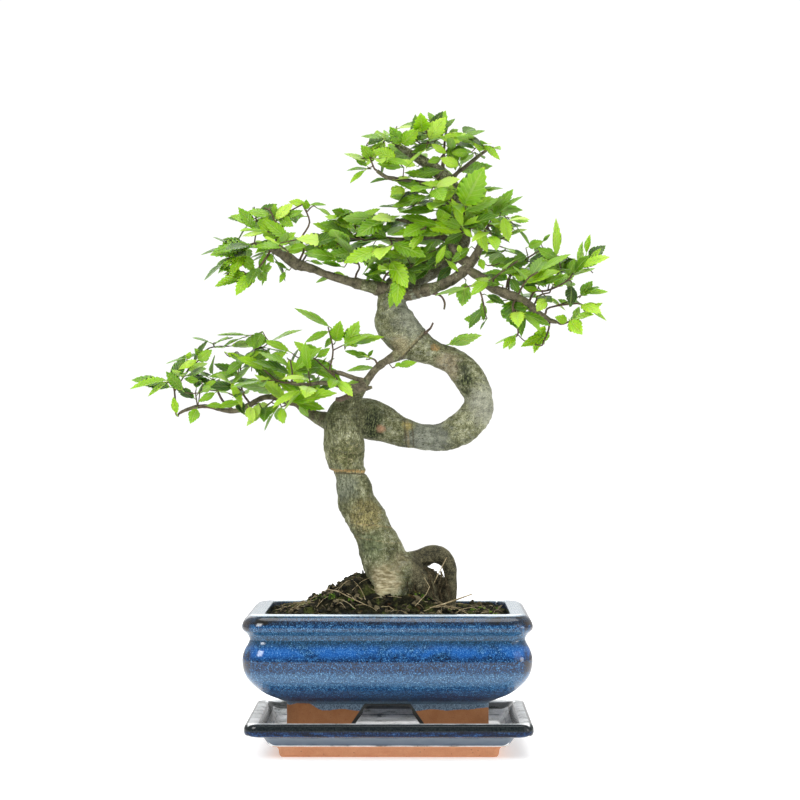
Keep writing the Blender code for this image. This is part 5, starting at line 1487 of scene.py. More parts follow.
# Sprays: the branch each grows from, then its stems. A stem is its points x, y, z in millimetres, its number of
# leaves, the length of its leaves in millimetres and the share of the stem that is bare. The first stem starts at
# the branch, and the others start at a point of an earlier one
SPRAYS: dict[str, tuple[str, tuple[Stem, ...]]] = {
    "left_end": ("left", (
        (((-74.6, -6, 278.7), (-77.5, -6, 278)), 2, 19, 0.5), (((-74.6, -6, 278.7), (-82.5, -3, 273)), 3, 16, 0.3),
        (((-74.6, -6, 278.7), (-73.4, -5, 289), (-75, -2, 299)), 3, 15, 0.45),
    )),
    "left_low": ("left", ((((-67.2, -10, 271.5), (-74, -11, 262.5), (-79, -11, 261)), 4, 18, 0.5),)),
    "left_knee": ("left", (
        (((-61.5, -11, 284), (-65, -10, 295), (-69, -10, 298)), 4, 14, 0.4),
        (((-61.5, -11, 284), (-67, -16, 284.5)), 2, 17, 0.5),
    )),
    "left_arch": ("left", (
        (((-47.2, -8, 275), (-48.6, -9, 281), (-44, -9, 290), (-48, -7, 300)), 3, 15, 0.75),
        (((-48.6, -9, 281), (-60, -17, 278)), 3, 15, 0.5), (((-48, -7, 300), (-56, -5, 296)), 2, 14, 0.5),
    )),
    "left_back_a": ("left", ((((-60, 12, 277), (-66, 20, 278)), 3, 20, 0.4),)),
    "left_back_b": ("left", ((((-46, 12, 275), (-51, 22, 277)), 3, 20, 0.4),)),
    "left_front": ("left", ((((-55.5, -18, 273.5), (-60, -28, 276.5)), 3, 16, 0.4),)),
    "mid_left": ("left", (
        (((-17, -7, 267), (-26, -9, 277), (-31, -10, 278)), 4, 21, 0.35),
        (((-17, -7, 267), (-28, 5, 289)), 3, 19, 0.5), (((-17, -7, 267), (-29, -14, 270)), 2, 17, 0.5),
    )),
    "mid_end": ("mid_low", (
        (((-15, -9, 280.5), (-18.5, -9, 285), (-19, -9, 291)), 4, 16, 0.3),
        (((-15, -9, 280.5), (-24, -15, 281)), 2, 17, 0.4),
    )),
    "mid_high_end": ("mid_high", ((((0, -9, 292), (-8, -10, 292)), 4, 19, 0.1),)),
    "mid_front_a": ("mid_low", ((((1, -14, 277), (-6, -18, 274.5)), 4, 20, 0.2),)),
    "mid_front_b": ("left", ((((-1, -9, 262), (5, -15, 264), (5, -17, 261)), 4, 20, 0.4),)),
    "mid_top_end": ("mid_top", (
        (((9, -6, 297.2), (4, -7, 299.3)), 3, 17, 0.2), (((9, -6, 297.2), (17, -13, 301)), 3, 17, 0.4),
    )),
    "mid_front_c": ("mid_high", ((((20, -15, 287), (17, -21, 285)), 4, 19, 0.3),)),
    "mid_front_d": ("mid_low", ((((39, -9, 286), (40.6, -11, 299), (42, -11, 303)), 5, 23, 0.2),)),
    "mid_front_e": ("trunk_upper", ((((31, -9, 301), (29, -15, 300)), 3, 19, 0.4),)),
    "mid_back_a": ("trunk_upper", ((((12, 20, 270), (4, 26, 273)), 3, 22, 0.3),)),
    "mid_back_b": ("trunk_upper", ((((29, 19, 281), (20, 28, 287)), 3, 22, 0.3),)),
    "mid_back_c": ("trunk_upper", ((((48, 17, 297), (55, 26, 300)), 3, 21, 0.3),)),
    "mid_right": ("right", (
        (((54, -6, 288), (57, -6, 293)), 4, 17, 0.3), (((54, -6, 288), (63, -11, 290)), 2, 16, 0.3),
        (((54, -6, 288), (56, -20, 282)), 3, 16, 0.3), (((57, -6, 293), (60, -1, 299)), 1, 17, 0.9),
    )),
    "right_fork": ("right", (
        (((55.5, -8, 278.5), (64, -8, 282)), 1, 12, 0.9), (((55.5, -8, 278.5), (66, -8, 275)), 2, 12, 0.6),
    )),
    "right_inner": ("right_pad", (
        (((58.5, -19, 260), (70, -23, 268)), 3, 17, 0.25), (((58.5, -19, 260), (54, -23, 257)), 2, 14, 0.4),
    )),
    "right_middle": ("right_pad", ((((75, -21, 258), (81, -23, 262)), 4, 18, 0.3),)),
    "right_upper": ("right_pad", (
        (((66, -6, 260), (74, -3, 269), (85, -1, 276)), 3, 17, 0.45), (((74, -3, 269), (86, -6, 268)), 2, 16, 0.35),
    )),
    "right_rise": ("right_pad", (
        (((80, -9, 252), (87, -9, 252.5), (98, -8, 258), (109, -4, 269)), 3, 16, 0.75),
        (((87, -9, 252.5), (90, -3, 265), (91, -3, 272)), 3, 20, 0.5), (((98, -8, 258), (101, -12, 262)), 2, 13, 0.4),
    )),
    "right_low": ("right_pad", (
        (((88, -12, 243), (103, -11, 245.2), (108, -10, 243)), 3, 15, 0.7),
        (((88, -12, 243), (100, -10, 247), (109, -9, 252)), 2, 13, 0.8),
    )),
    "right_end": ("right_pad", ((((95.5, -9, 234), (104, -9, 238)), 3, 15, 0.5),)),
    "right_droop": ("right_pad", (
        (((87, -13, 230), (83.5, -15, 222)), 3, 14, 0.3), (((83.5, -15, 222), (77, -14, 223)), 2, 11, 0.6),
    )),
    "right_hang": ("right_pad", (
        (((67.3, -19, 242), (70.4, -20, 229), (66, -20, 225.3)), 2, 12, 0.8),
        (((67.3, -19, 242), (72, -23, 239)), 3, 17, 0.4),
    )),
    "hang_twig": ("right_pad", (
        (((47.5, -15, 255.5), (50.3, -14, 250), (52.7, -14, 239)), 3, 12, 0.6),
        (((47.5, -15, 255.5), (41, -15, 254)), 2, 14, 0.5),
    )),
    "right_back_a": ("right_pad", ((((67, 3, 261), (73, 12, 263)), 3, 20, 0.35),)),
    "right_back_b": ("right_pad", ((((83, 2, 250), (89, 10, 252)), 3, 19, 0.35),)),
    "crown_tip": ("trunk_upper", (
        (((-1, 0, 336.2), (-4.5, 0, 337)), 3, 17, 0.2), (((-1, 0, 336.2), (6, -6, 338)), 2, 16, 0.4),
    )),
    "crown_top": ("trunk_upper", (
        (((18, -4.5, 331), (17.5, -4, 333), (14, -6, 336)), 3, 15, 0.4),
        (((17.5, -4, 333), (27, -6, 336)), 3, 16, 0.4),
    )),
    "crown_top_right": ("trunk_upper", ((((30, -5, 328), (38, -6, 337)), 4, 16, 0.3),)),
    "crown_right": ("crown_right", (
        (((55.2, 2, 331.8), (57.5, 2, 332.4)), 2, 13, 0.5), (((55.2, 2, 331.8), (48, -5, 334)), 3, 14, 0.3),
    )),
    "crown_left": ("crown_left", (
        (((-8.6, -8, 320), (-10.8, -8, 325.5), (-13, -8, 328.5)), 3, 14, 0.4),
        (((-10.8, -8, 325.5), (-18, -8, 325)), 2, 12, 0.4), (((-10.8, -8, 325.5), (-2, -14, 324)), 3, 16, 0.3),
    )),
    "crown_front": ("crown_left", ((((24, -11, 309.5), (25, -17, 308)), 4, 18, 0.3),)),
    "crown_back_a": ("trunk_upper", ((((15, 11, 329), (9, 20, 331)), 3, 18, 0.3),)),
    "crown_back_b": ("trunk_upper", ((((37, 14, 319), (40, 22, 324)), 3, 18, 0.3),)),
    "low_tip": ("low_a", (
        (((-119, 7, 184.4), (-119.6, 4, 197), (-121.5, 4, 201.5), (-125, 4, 202)), 3, 19, 0.7),
        (((-119.6, 4, 197), (-109, -2, 213)), 3, 15, 0.4),
        (((-109, -2, 213), (-100, 1, 221), (-89, 1, 222)), 3, 13, 0.4),
    )),
    "low_rise": ("low_a", (
        (((-82, 5, 197), (-82.8, 2, 209), (-83, 0, 217)), 3, 15, 0.5), (((-82, 5, 197), (-87, -5, 201)), 3, 15, 0.4),
        (((-82, 5, 197), (-86, -2, 190)), 2, 14, 0.6),
    )),
    "low_b_end": ("low_b", (
        (((-62, -15, 203.2), (-73.2, -10, 213.5), (-74, -9, 220)), 3, 16, 0.5),
        (((-62, -15, 203.2), (-70, -20, 202.5)), 3, 16, 0.3),
    )),
    "low_cluster": ("low_a", (
        (((-61, 0, 195), (-64, -6, 198)), 3, 15, 0.4), (((-61, 0, 195), (-70, -6, 187)), 3, 13, 0.5),
    )),
    "low_big": ("low_b", ((((-53, -20, 206.5), (-54, -21, 214)), 4, 20, 0.2),)),
    "low_bright": ("low_b", (
        (((-43, -21, 200), (-49, -25, 197.5)), 3, 19, 0.25), (((-43, -21, 200), (-44, -26, 208)), 2, 18, 0.3),
    )),
    "low_twig": ("low_b_upper", (
        (((-32.8, -15, 208.7), (-31, -12, 219.5), (-33.8, -10, 232.3)), 2, 22, 0.9),
        (((-31, -12, 219.5), (-23, -12, 223.5)), 3, 15, 0.6),
    )),
    "low_right": ("low_b_upper", (
        (((-31, -18.5, 206), (-41, -15, 215)), 3, 15, 0.5), (((-31, -18.5, 206), (-28, -22, 203)), 2, 14, 0.5),
    )),
    "low_pair": ("low_b", ((((-8.5, -12, 214.5), (-14, -13, 216.3)), 3, 9, 0.4),)),
    "loop_back": ("trunk_upper", ((((28, 13, 221.5), (33, 14, 221)), 2, 19, 0.7),)),
    "low_back_a": ("low_a", ((((-60, 15, 197), (-64, 24, 200)), 3, 20, 0.4),)),
    "low_back_b": ("low_a", ((((-85, 16, 193), (-91, 24, 196)), 3, 18, 0.4),)),
    "low_back_c": ("low_a", ((((-46, 14, 194), (-48, 22, 201)), 3, 20, 0.4),)),
}

# Added twigs inside the crown: region, then tip x, y, z, leaves and leaf length in millimetres
TWIGS: dict[str, tuple[tuple[float, float, float, int, float], ...]] = {
    "centre": (
        (8, 10, 289, 4, 20), (-9, 8, 279, 4, 20), (20, 14, 302, 4, 20), (36, 17, 292, 4, 20), (-21, 6, 291, 4, 18),
        (61, 4, 294, 3, 16), (52, 9, 286, 4, 17), (1, 14, 267, 3, 17), (22, 17, 275, 4, 18), (-30, -4, 292, 3, 17),
        (6, -8, 303, 4, 16), (-6, 0, 288, 4, 18), (30, 4, 288, 4, 18), (44, 2, 306, 4, 17), (12, 0, 276, 4, 18),
        (-24, 2, 280, 4, 17),
    ),
    "crown": (
        (-12, -7, 334, 3, 13), (20, -8, 342, 3, 14), (33, -5, 334, 4, 14), (43, -5, 337, 3, 13), (12, 6, 338, 4, 15),
        (28, 9, 334, 4, 15), (-4, 5, 329, 4, 15), (26, -3, 342, 3, 13), (-8, -3, 340, 3, 13), (46, 6, 329, 3, 14),
        (20, 4, 345, 3, 12), (4, 2, 344, 3, 13),
    ),
    "left": (
        (-90, -8, 269, 3, 14), (-81, 4, 277, 4, 15), (-50, 4, 293, 4, 16), (-66, 6, 270, 4, 16),
        (-40, -7, 279, 4, 17), (-36, 8, 284, 4, 17), (-40, -7, 298, 3, 14), (-84, -4, 263, 3, 14),
        (-56, 8, 283, 4, 17), (-66, -2, 296, 3, 13), (-78, 4, 290, 3, 14), (-92, 2, 276, 3, 14),
    ),
    "right": (
        (90, -6, 264, 4, 15), (96, -4, 271, 3, 15), (70, 0, 257, 4, 16), (84, -4, 249, 3, 14), (100, -8, 256, 3, 13),
        (62, 2, 274, 4, 16), (78, 7, 265, 4, 16), (74, -8, 262, 4, 15), (92, 6, 256, 3, 15), (112, -8, 262, 3, 13),
    ),
    "low": (
        (-112, 0, 206, 4, 14), (-104, 5, 216, 3, 13), (-98, 0, 206, 3, 13), (-92, 6, 200, 3, 13),
        (-76, -8, 208, 4, 15), (-74, 6, 203, 4, 15), (-56, 6, 209, 4, 16), (-38, 4, 208, 3, 15),
        (-88, -4, 216, 3, 14), (-70, 2, 220, 4, 14), (-108, 9, 198, 3, 13), (-80, -2, 196, 3, 14),
        (-64, 8, 186, 3, 13), (-44, 2, 198, 3, 15), (-96, -3, 224, 3, 12),
    ),
}

# Leaves read one by one from the photograph: the x, z of base and tip where the camera sees them at y = 0, the
# seen width, the depth y in millimetres, and the tone, which holds painted light and shade as well as the leaf's own
# green and is over 1 for a leaf that shows its pale underside
LEAVES: dict[str, tuple[Leaf, ...]] = {
    "centre": (
        (-17, 293, -32, 297, 5, -8, 0.4), (-17, 293, -5, 298, 4, -8, 0.6), (-19, 285, 6, 294, 5, -11, 0.55),
        (-2, 282, -13, 289, 6, -9, 0.45), (-20, 282, -36, 289, 7, -10, 0.4), (-20, 274, -36, 271, 8, -12, 0.45),
        (1, 281, -18, 279, 3, -8, 0.35), (8, 271, -20, 273, 6, -13, 0.6), (-3, 274, 9, 270, 4, -14, 0.65),
        (1, 269, 10, 254, 10, -17, 0.75), (-2, 264, -12, 261, 2, -12, 0.8), (-1, 267, -5, 263, 4, -13, 0.8),
        (4, 256, 0, 243, 5, -16, 0.6), (20, 305, 1, 299, 6, -10, 0.55), (8, 309, 0, 304, 6, -9, 0.9),
        (26, 289, 6, 294, 6, -12, 0.6), (31, 284, 1, 283, 7, -14, 0.55), (19, 285, 10, 274, 5, -16, 0.8),
        (15, 269, 25, 280, 3, -15, 0.6), (12, 266, 23, 271, 2, -14, 0.8), (26, 268, 31, 278, 4, -14, 0.75),
        (40, 288, 27, 293, 6, -13, 0.6), (27, 291, 34, 300, 8, -10, 0.55), (36, 308, 23, 300, 6, -15, 1),
        (40, 289, 34, 304, 5, -16, 0.75), (39, 274, 38, 278, 3, -14, 0.9), (-15, 252, -10, 249, 4, -3, 1.1),
        (42, 257, 40, 244, 8, -4, 1.25), (10, 264, 14, 256, 5, -12, 0.5), (32, 269, 38, 263, 3, -13, 0.7),
        (25, 297, 5, 296, 5, -12, 0.5), (30, 272, 18, 264, 6, -8, 0.25), (36, 278, 24, 272, 7, -7, 0.3),
        (22, 266, 12, 258, 5, -7, 0.2), (40, 284, 30, 279, 6, -8, 0.35), (34, 266, 26, 258, 5, -4, 0.2),
        (46, 268, 38, 276, 6, 4, 0.15), (42, 262, 36, 270, 5, 6, 0.15), (48, 280, 40, 270, 6, 5, 0.2),
        (26, 276, 14, 270, 6, -9, 0.4), (44, 276, 34, 268, 5, -10, 0.45), (-2, 262, -14, 268, 5, -7, 0.3),
        (-4, 258, -15, 262, 4, -7, 0.3), (-6, 266, -13, 258, 4, -8, 0.35), (-27, 266, -38, 268, 3, -7, 0.5),
        (41, 287, 46, 282, 3, -15, 0.8), (15, 277, 8, 282, 5, -10, 0.35), (-6, 285, 1, 289, 4, -8, 0.35),
        (20, 274, 13, 275, 5, -11, 0.4), (34, 271, 30, 275, 4, -10, 0.45), (42, 293, 56, 305, 9, -9, 0.7),
        (41, 289, 56, 294, 4, -14, 0.8), (59, 295, 74, 305, 3, -8, 0.5), (57, 299, 63, 304, 5, -4, 1.1),
        (67, 293, 77, 291, 4, -8, 0.6), (63, 293, 66, 280, 7, -12, 0.95), (56, 293, 63, 286, 4, -10, 0.7),
        (49, 286, 54, 274, 6, -14, 0.95), (53, 308, 59, 309, 2, -2, 1.3), (52, 287, 43, 291, 5, -10, 0.45),
    ),
    "left": (
        (-76, 277, -97, 274, 6, -9, 0.6), (-83, 273, -95, 262, 4, -7, 0.75), (-83, 271, -85, 265, 2, -6, 0.8),
        (-81, 272, -75, 263, 6, -8, 0.5), (-79, 262, -97, 255, 6, -10, 0.8), (-76, 263, -79, 255, 6, -5, 1.3),
        (-73, 263, -68, 258, 5, -5, 1.2), (-71, 264, -69, 274, 4, -9, 0.45), (-68, 273, -64, 268, 4, -8, 0.6),
        (-71, 264, -65, 266, 4, -5, 1.2), (-75, 287, -84, 299, 6, -10, 0.55), (-73, 293, -76, 299, 3, -5, 1.1),
        (-73, 289, -67, 294, 4, -10, 0.75), (-63, 282, -72, 289, 7, -11, 0.7), (-63, 293, -64, 301, 4, -8, 0.6),
        (-60, 296, -55, 300, 3, -6, 0.35), (-61, 293, -53, 288, 6, -9, 0.6), (-58, 293, -48, 297, 4, -9, 0.5),
        (-47, 301, -56, 302, 4, -6, 0.9), (-46, 298, -46, 303, 4, -7, 0.65), (-44, 300, -35, 300, 2, -6, 0.5),
        (-63, 278, -52, 285, 6, -12, 0.65), (-72, 279, -60, 278, 3, -11, 0.5), (-47, 278, -57, 274, 5, -11, 0.55),
        (-47, 277, -39, 274, 4, -10, 0.35), (-57, 265, -64, 269, 2, -9, 0.4), (-58, 263, -61, 257, 3, -8, 0.6),
        (-44, 269, -37, 267, 2, -6, 1.2), (-33, 260, -41, 257, 2, -5, 1.1), (-25, 261, -33, 262, 3, -6, 1),
        (-26, 288, -39, 290, 6, -10, 0.45), (-28, 282, -42, 276, 7, -11, 0.45), (-25, 295, -32, 297, 5, -7, 0.5),
    ),
    "right": (
        (71, 287, 78, 277, 2, -8, 0.45), (77, 277, 85, 280, 5, -9, 0.5), (92, 272, 92, 293, 5, -10, 0.85),
        (85, 280, 89, 284, 2, -3, 1.2), (93, 265, 78, 267, 7, -12, 0.5), (92, 271, 82, 276, 6, -11, 0.5),
        (93, 263, 96, 272, 4, -10, 0.5), (99, 261, 102, 270, 6, -9, 0.45), (106, 265, 107, 280, 4, -5, 1.4),
        (109, 274, 111, 284, 3, -6, 0.65), (111, 269, 117, 276, 3, -6, 0.7), (61, 256, 47, 259, 5, -16, 0.5),
        (63, 268, 77, 268, 6, -9, 0.4), (67, 262, 85, 260, 6, -14, 0.65), (56, 267, 70, 270, 6, -7, 0.4),
        (67, 259, 72, 251, 5, -12, 0.35), (84, 256, 97, 261, 4, -12, 0.5), (50, 270, 52, 264, 4, -13, 0.75),
        (65, 262, 52, 262, 3, -12, 0.45), (75, 272, 68, 269, 5, -8, 0.35), (87, 260, 81, 257, 5, -9, 0.4),
        (50, 237, 41, 237, 5, -10, 0.6), (51, 246, 52, 236, 4, -10, 0.6), (53, 236, 50, 231, 1, -10, 0.6),
        (67, 247, 70, 231, 13, -12, 0.35), (75, 240, 73, 227, 4, -11, 0.4), (69, 227, 66, 220, 4, -8, 1.2),
        (69, 228, 58, 223, 1, -8, 0.8), (86, 233, 80, 218, 6, -11, 0.85), (86, 225, 88, 231, 3, -9, 0.8),
        (98, 236, 91, 238, 5, -10, 0.8), (100, 236, 106, 228, 8, -11, 0.95), (102, 237, 105, 244, 4, -5, 1.2),
        (107, 239, 118, 246, 4, -9, 0.8), (106, 250, 112, 258, 6, -9, 0.5), (110, 251, 121, 252, 3, -8, 0.7),
        (86, 248, 81, 241, 6, -15, 0.95), (60, 247, 53, 246, 2, -9, 1.3), (99, 245, 93, 248, 3, -5, 1.2),
        (82, 253, 74, 254, 3, -13, 0.75), (54, 250, 64, 245, 4, -14, 0.3), (67, 247, 77, 242, 4, -14, 0.35),
    ),
    "crown": (
        (2, 336, -16, 338, 4, -6, 0.55), (6, 334, 0, 343, 7, -8, 0.5), (7, 334, 16, 341, 8, -9, 0.6),
        (18, 341, 17, 350, 9, -8, 0.75), (22, 337, 31, 348, 9, -9, 0.95), (3, 326, -9, 330, 8, -9, 0.8),
        (-10, 326, -16, 333, 6, -7, 0.65), (-13, 322, -20, 328, 4, -6, 0.5), (-12, 320, -24, 319, 2, -5, 0.45),
        (-14, 319, -22, 312, 3, -7, 0.8), (6, 321, -7, 323, 5, -10, 0.65), (-2, 314, -11, 312, 2, -6, 0.4),
        (3, 314, 12, 315, 2, -9, 1), (6, 310, 1, 303, 7, -8, 0.95), (4, 313, 22, 306, 6, -9, 0.45),
        (36, 309, 17, 312, 5, -11, 0.75), (23, 318, 14, 316, 5, -2, 1.1), (19, 330, 9, 320, 2, -12, 0.9),
        (41, 337, 28, 337, 6, -10, 0.85), (41, 338, 53, 341, 3, -8, 0.55), (52, 333, 61, 325, 4, -8, 0.75),
        (53, 331, 46, 334, 4, -7, 0.9), (28, 326, 21, 324, 4, -9, 0.6), (38, 322, 28, 326, 6, -10, 0.8),
        (43, 329, 34, 329, 5, -8, 0.7), (31, 329, 23, 334, 4, -9, 0.85), (39, 325, 44, 329, 3, -7, 0.5),
        (33, 340, 38, 342, 3, -2, 1.2), (41, 300, 52, 320, 15, -14, 0.62), (28, 319, 10, 316, 6, -6, 0.45),
        (24, 315, 8, 318, 5, -7, 0.5), (14, 322, 5, 325, 4, -6, 1), (23, 333, 12, 329, 4, -7, 0.5),
        (33, 336, 40, 340, 4, -8, 0.8),
    ),
    "low": (
        (-124, 203, -144, 198, 4, -4, 0.7), (-124, 202, -134, 194, 3, -4, 0.85), (-115, 198, -124, 208, 6, -6, 0.45),
        (-114, 215, -124, 212, 1, -3, 0.5), (-107, 214, -117, 209, 4, -8, 0.85), (-106, 214, -98, 220, 6, -6, 0.6),
        (-105, 217, -108, 221, 3, -5, 0.6), (-112, 215, -110, 219, 3, -4, 0.75), (-80, 228, -96, 228, 1, -3, 0.6),
        (-71, 229, -75, 220, 8, -5, 0.4), (-83, 226, -93, 221, 1, -3, 0.6), (-78, 227, -74, 221, 6, -8, 0.4),
        (-90, 218, -81, 213, 3, -9, 0.85), (-82, 212, -71, 219, 4, -10, 0.7), (-81, 214, -91, 206, 5, -9, 0.5),
        (-86, 206, -100, 205, 4, -7, 0.55), (-72, 201, -87, 202, 2, -8, 0.5), (-88, 201, -82, 188, 4, -11, 0.9),
        (-78, 188, -75, 180, 6, -12, 0.95), (-118, 185, -120, 194, 4, -4, 0.8), (-107, 187, -110, 179, 6, -6, 0.65),
        (-101, 189, -92, 189, 3, -8, 0.6), (-95, 188, -81, 191, 4, -9, 0.65), (-106, 203, -114, 204, 4, -5, 0.6),
        (-102, 200, -96, 203, 3, -4, 0.9), (-104, 197, -99, 200, 4, -4, 1.1), (-34, 233, -53, 243, 4, -6, 0.7),
        (-30, 225, -27, 236, 8, -8, 0.6), (-24, 222, -17, 236, 8, -10, 0.7), (-23, 223, -3, 227, 5, -7, 0.8),
        (-34, 230, -47, 224, 4, -8, 0.65), (-32, 227, -36, 221, 3, -4, 1.2), (-40, 220, -50, 221, 5, -8, 0.6),
        (-40, 216, -33, 221, 4, -9, 0.6), (-65, 225, -48, 231, 2, -4, 0.6), (-56, 219, -71, 225, 4, -9, 0.75),
        (-56, 214, -48, 200, 8, -17, 0.85), (-47, 214, -26, 202, 8, -14, 0.5), (-54, 191, -29, 196, 7, -19, 0.75),
        (-52, 191, -36, 187, 6, -9, 0.6), (-58, 191, -75, 206, 6, -16, 0.9), (-60, 187, -59, 179, 5, -12, 0.8),
        (-62, 189, -72, 182, 4, -10, 0.55), (-50, 189, -45, 183, 4, -9, 1.1), (-73, 189, -76, 181, 5, -12, 0.95),
        (33, 223, 51, 228, 6, 12, 1.35), (-97, 196, -106, 191, 4, -5, 0.6), (-9, 210, -24, 208, 3, -9, 0.6),
        (-12, 216, -18, 219, 2, -8, 0.6), (-12, 216, -9, 220, 2, -8, 0.55), (-16, 202, -25, 200, 3, -2, 1.2),
        (3, 211, 6, 213, 2, -8, 0.85), (5, 211, 15, 213, 4, -9, 0.7), (-62, 203, -51, 195, 5, -14, 0.6),
        (-67, 214, -57, 219, 5, -10, 0.6), (-58, 205, -65, 211, 5, -13, 0.75), (-39, 197, -46, 203, 6, -12, 0.45),
        (-44, 199, -54, 200, 5, -11, 0.4), (-69, 219, -77, 216, 5, -8, 0.5),
    ),
}

# Gaps in the crown where the photograph shows the background: x, z and radius in millimetres
GAPS: tuple[Row, ...] = (
    (-19, 339, 5), (-11, 343.5, 4.5), (-5, 346, 3), (3, 349.5, 5), (64, 333.5, 4), (-77, 307, 7), (-61, 304.5, 4),
    (-51.5, 308, 5.5), (-41, 305.5, 4.5), (-32, 300.5, 5), (-46, 288.5, 7.5), (-17.5, 311, 5), (-19, 301, 5),
    (-4, 304, 5.5), (66, 306, 5), (70, 298, 4), (79, 287, 3.5), (97, 282, 5), (108, 258, 5), (117, 257.5, 4),
    (112, 265, 4), (78, 271, 4), (96, 252, 4.5), (57, 237, 6), (59, 219.5, 4), (81.5, 215, 5), (93.5, 224.5, 4.5),
    (46, 219, 6), (-75.5, 235, 4.5), (-56.5, 230, 6), (-36, 244, 8), (-45.5, 234, 5), (-98, 222, 4), (-93, 213, 4),
    (-94, 195, 3.5), (-89, 195, 3), (-76, 196.5, 5), (-90, 182, 4), (-52.5, 180.5, 5.5), (-64, 178, 3),
    (-83, 253.5, 3.5), (-58, 255, 3.5), (-25, 264.5, 4), (-76.5, 231, 3),
)


@dataclass(frozen=True)
class LeafShape:
    """Length, width, droop and fold of a leaf, and how far its tip curls, with its tones."""

    length: float
    width: float
    droop: float
    fold: float
    curl: float = 0.0
    tone: float = 0.5
    lime: float = 0.0


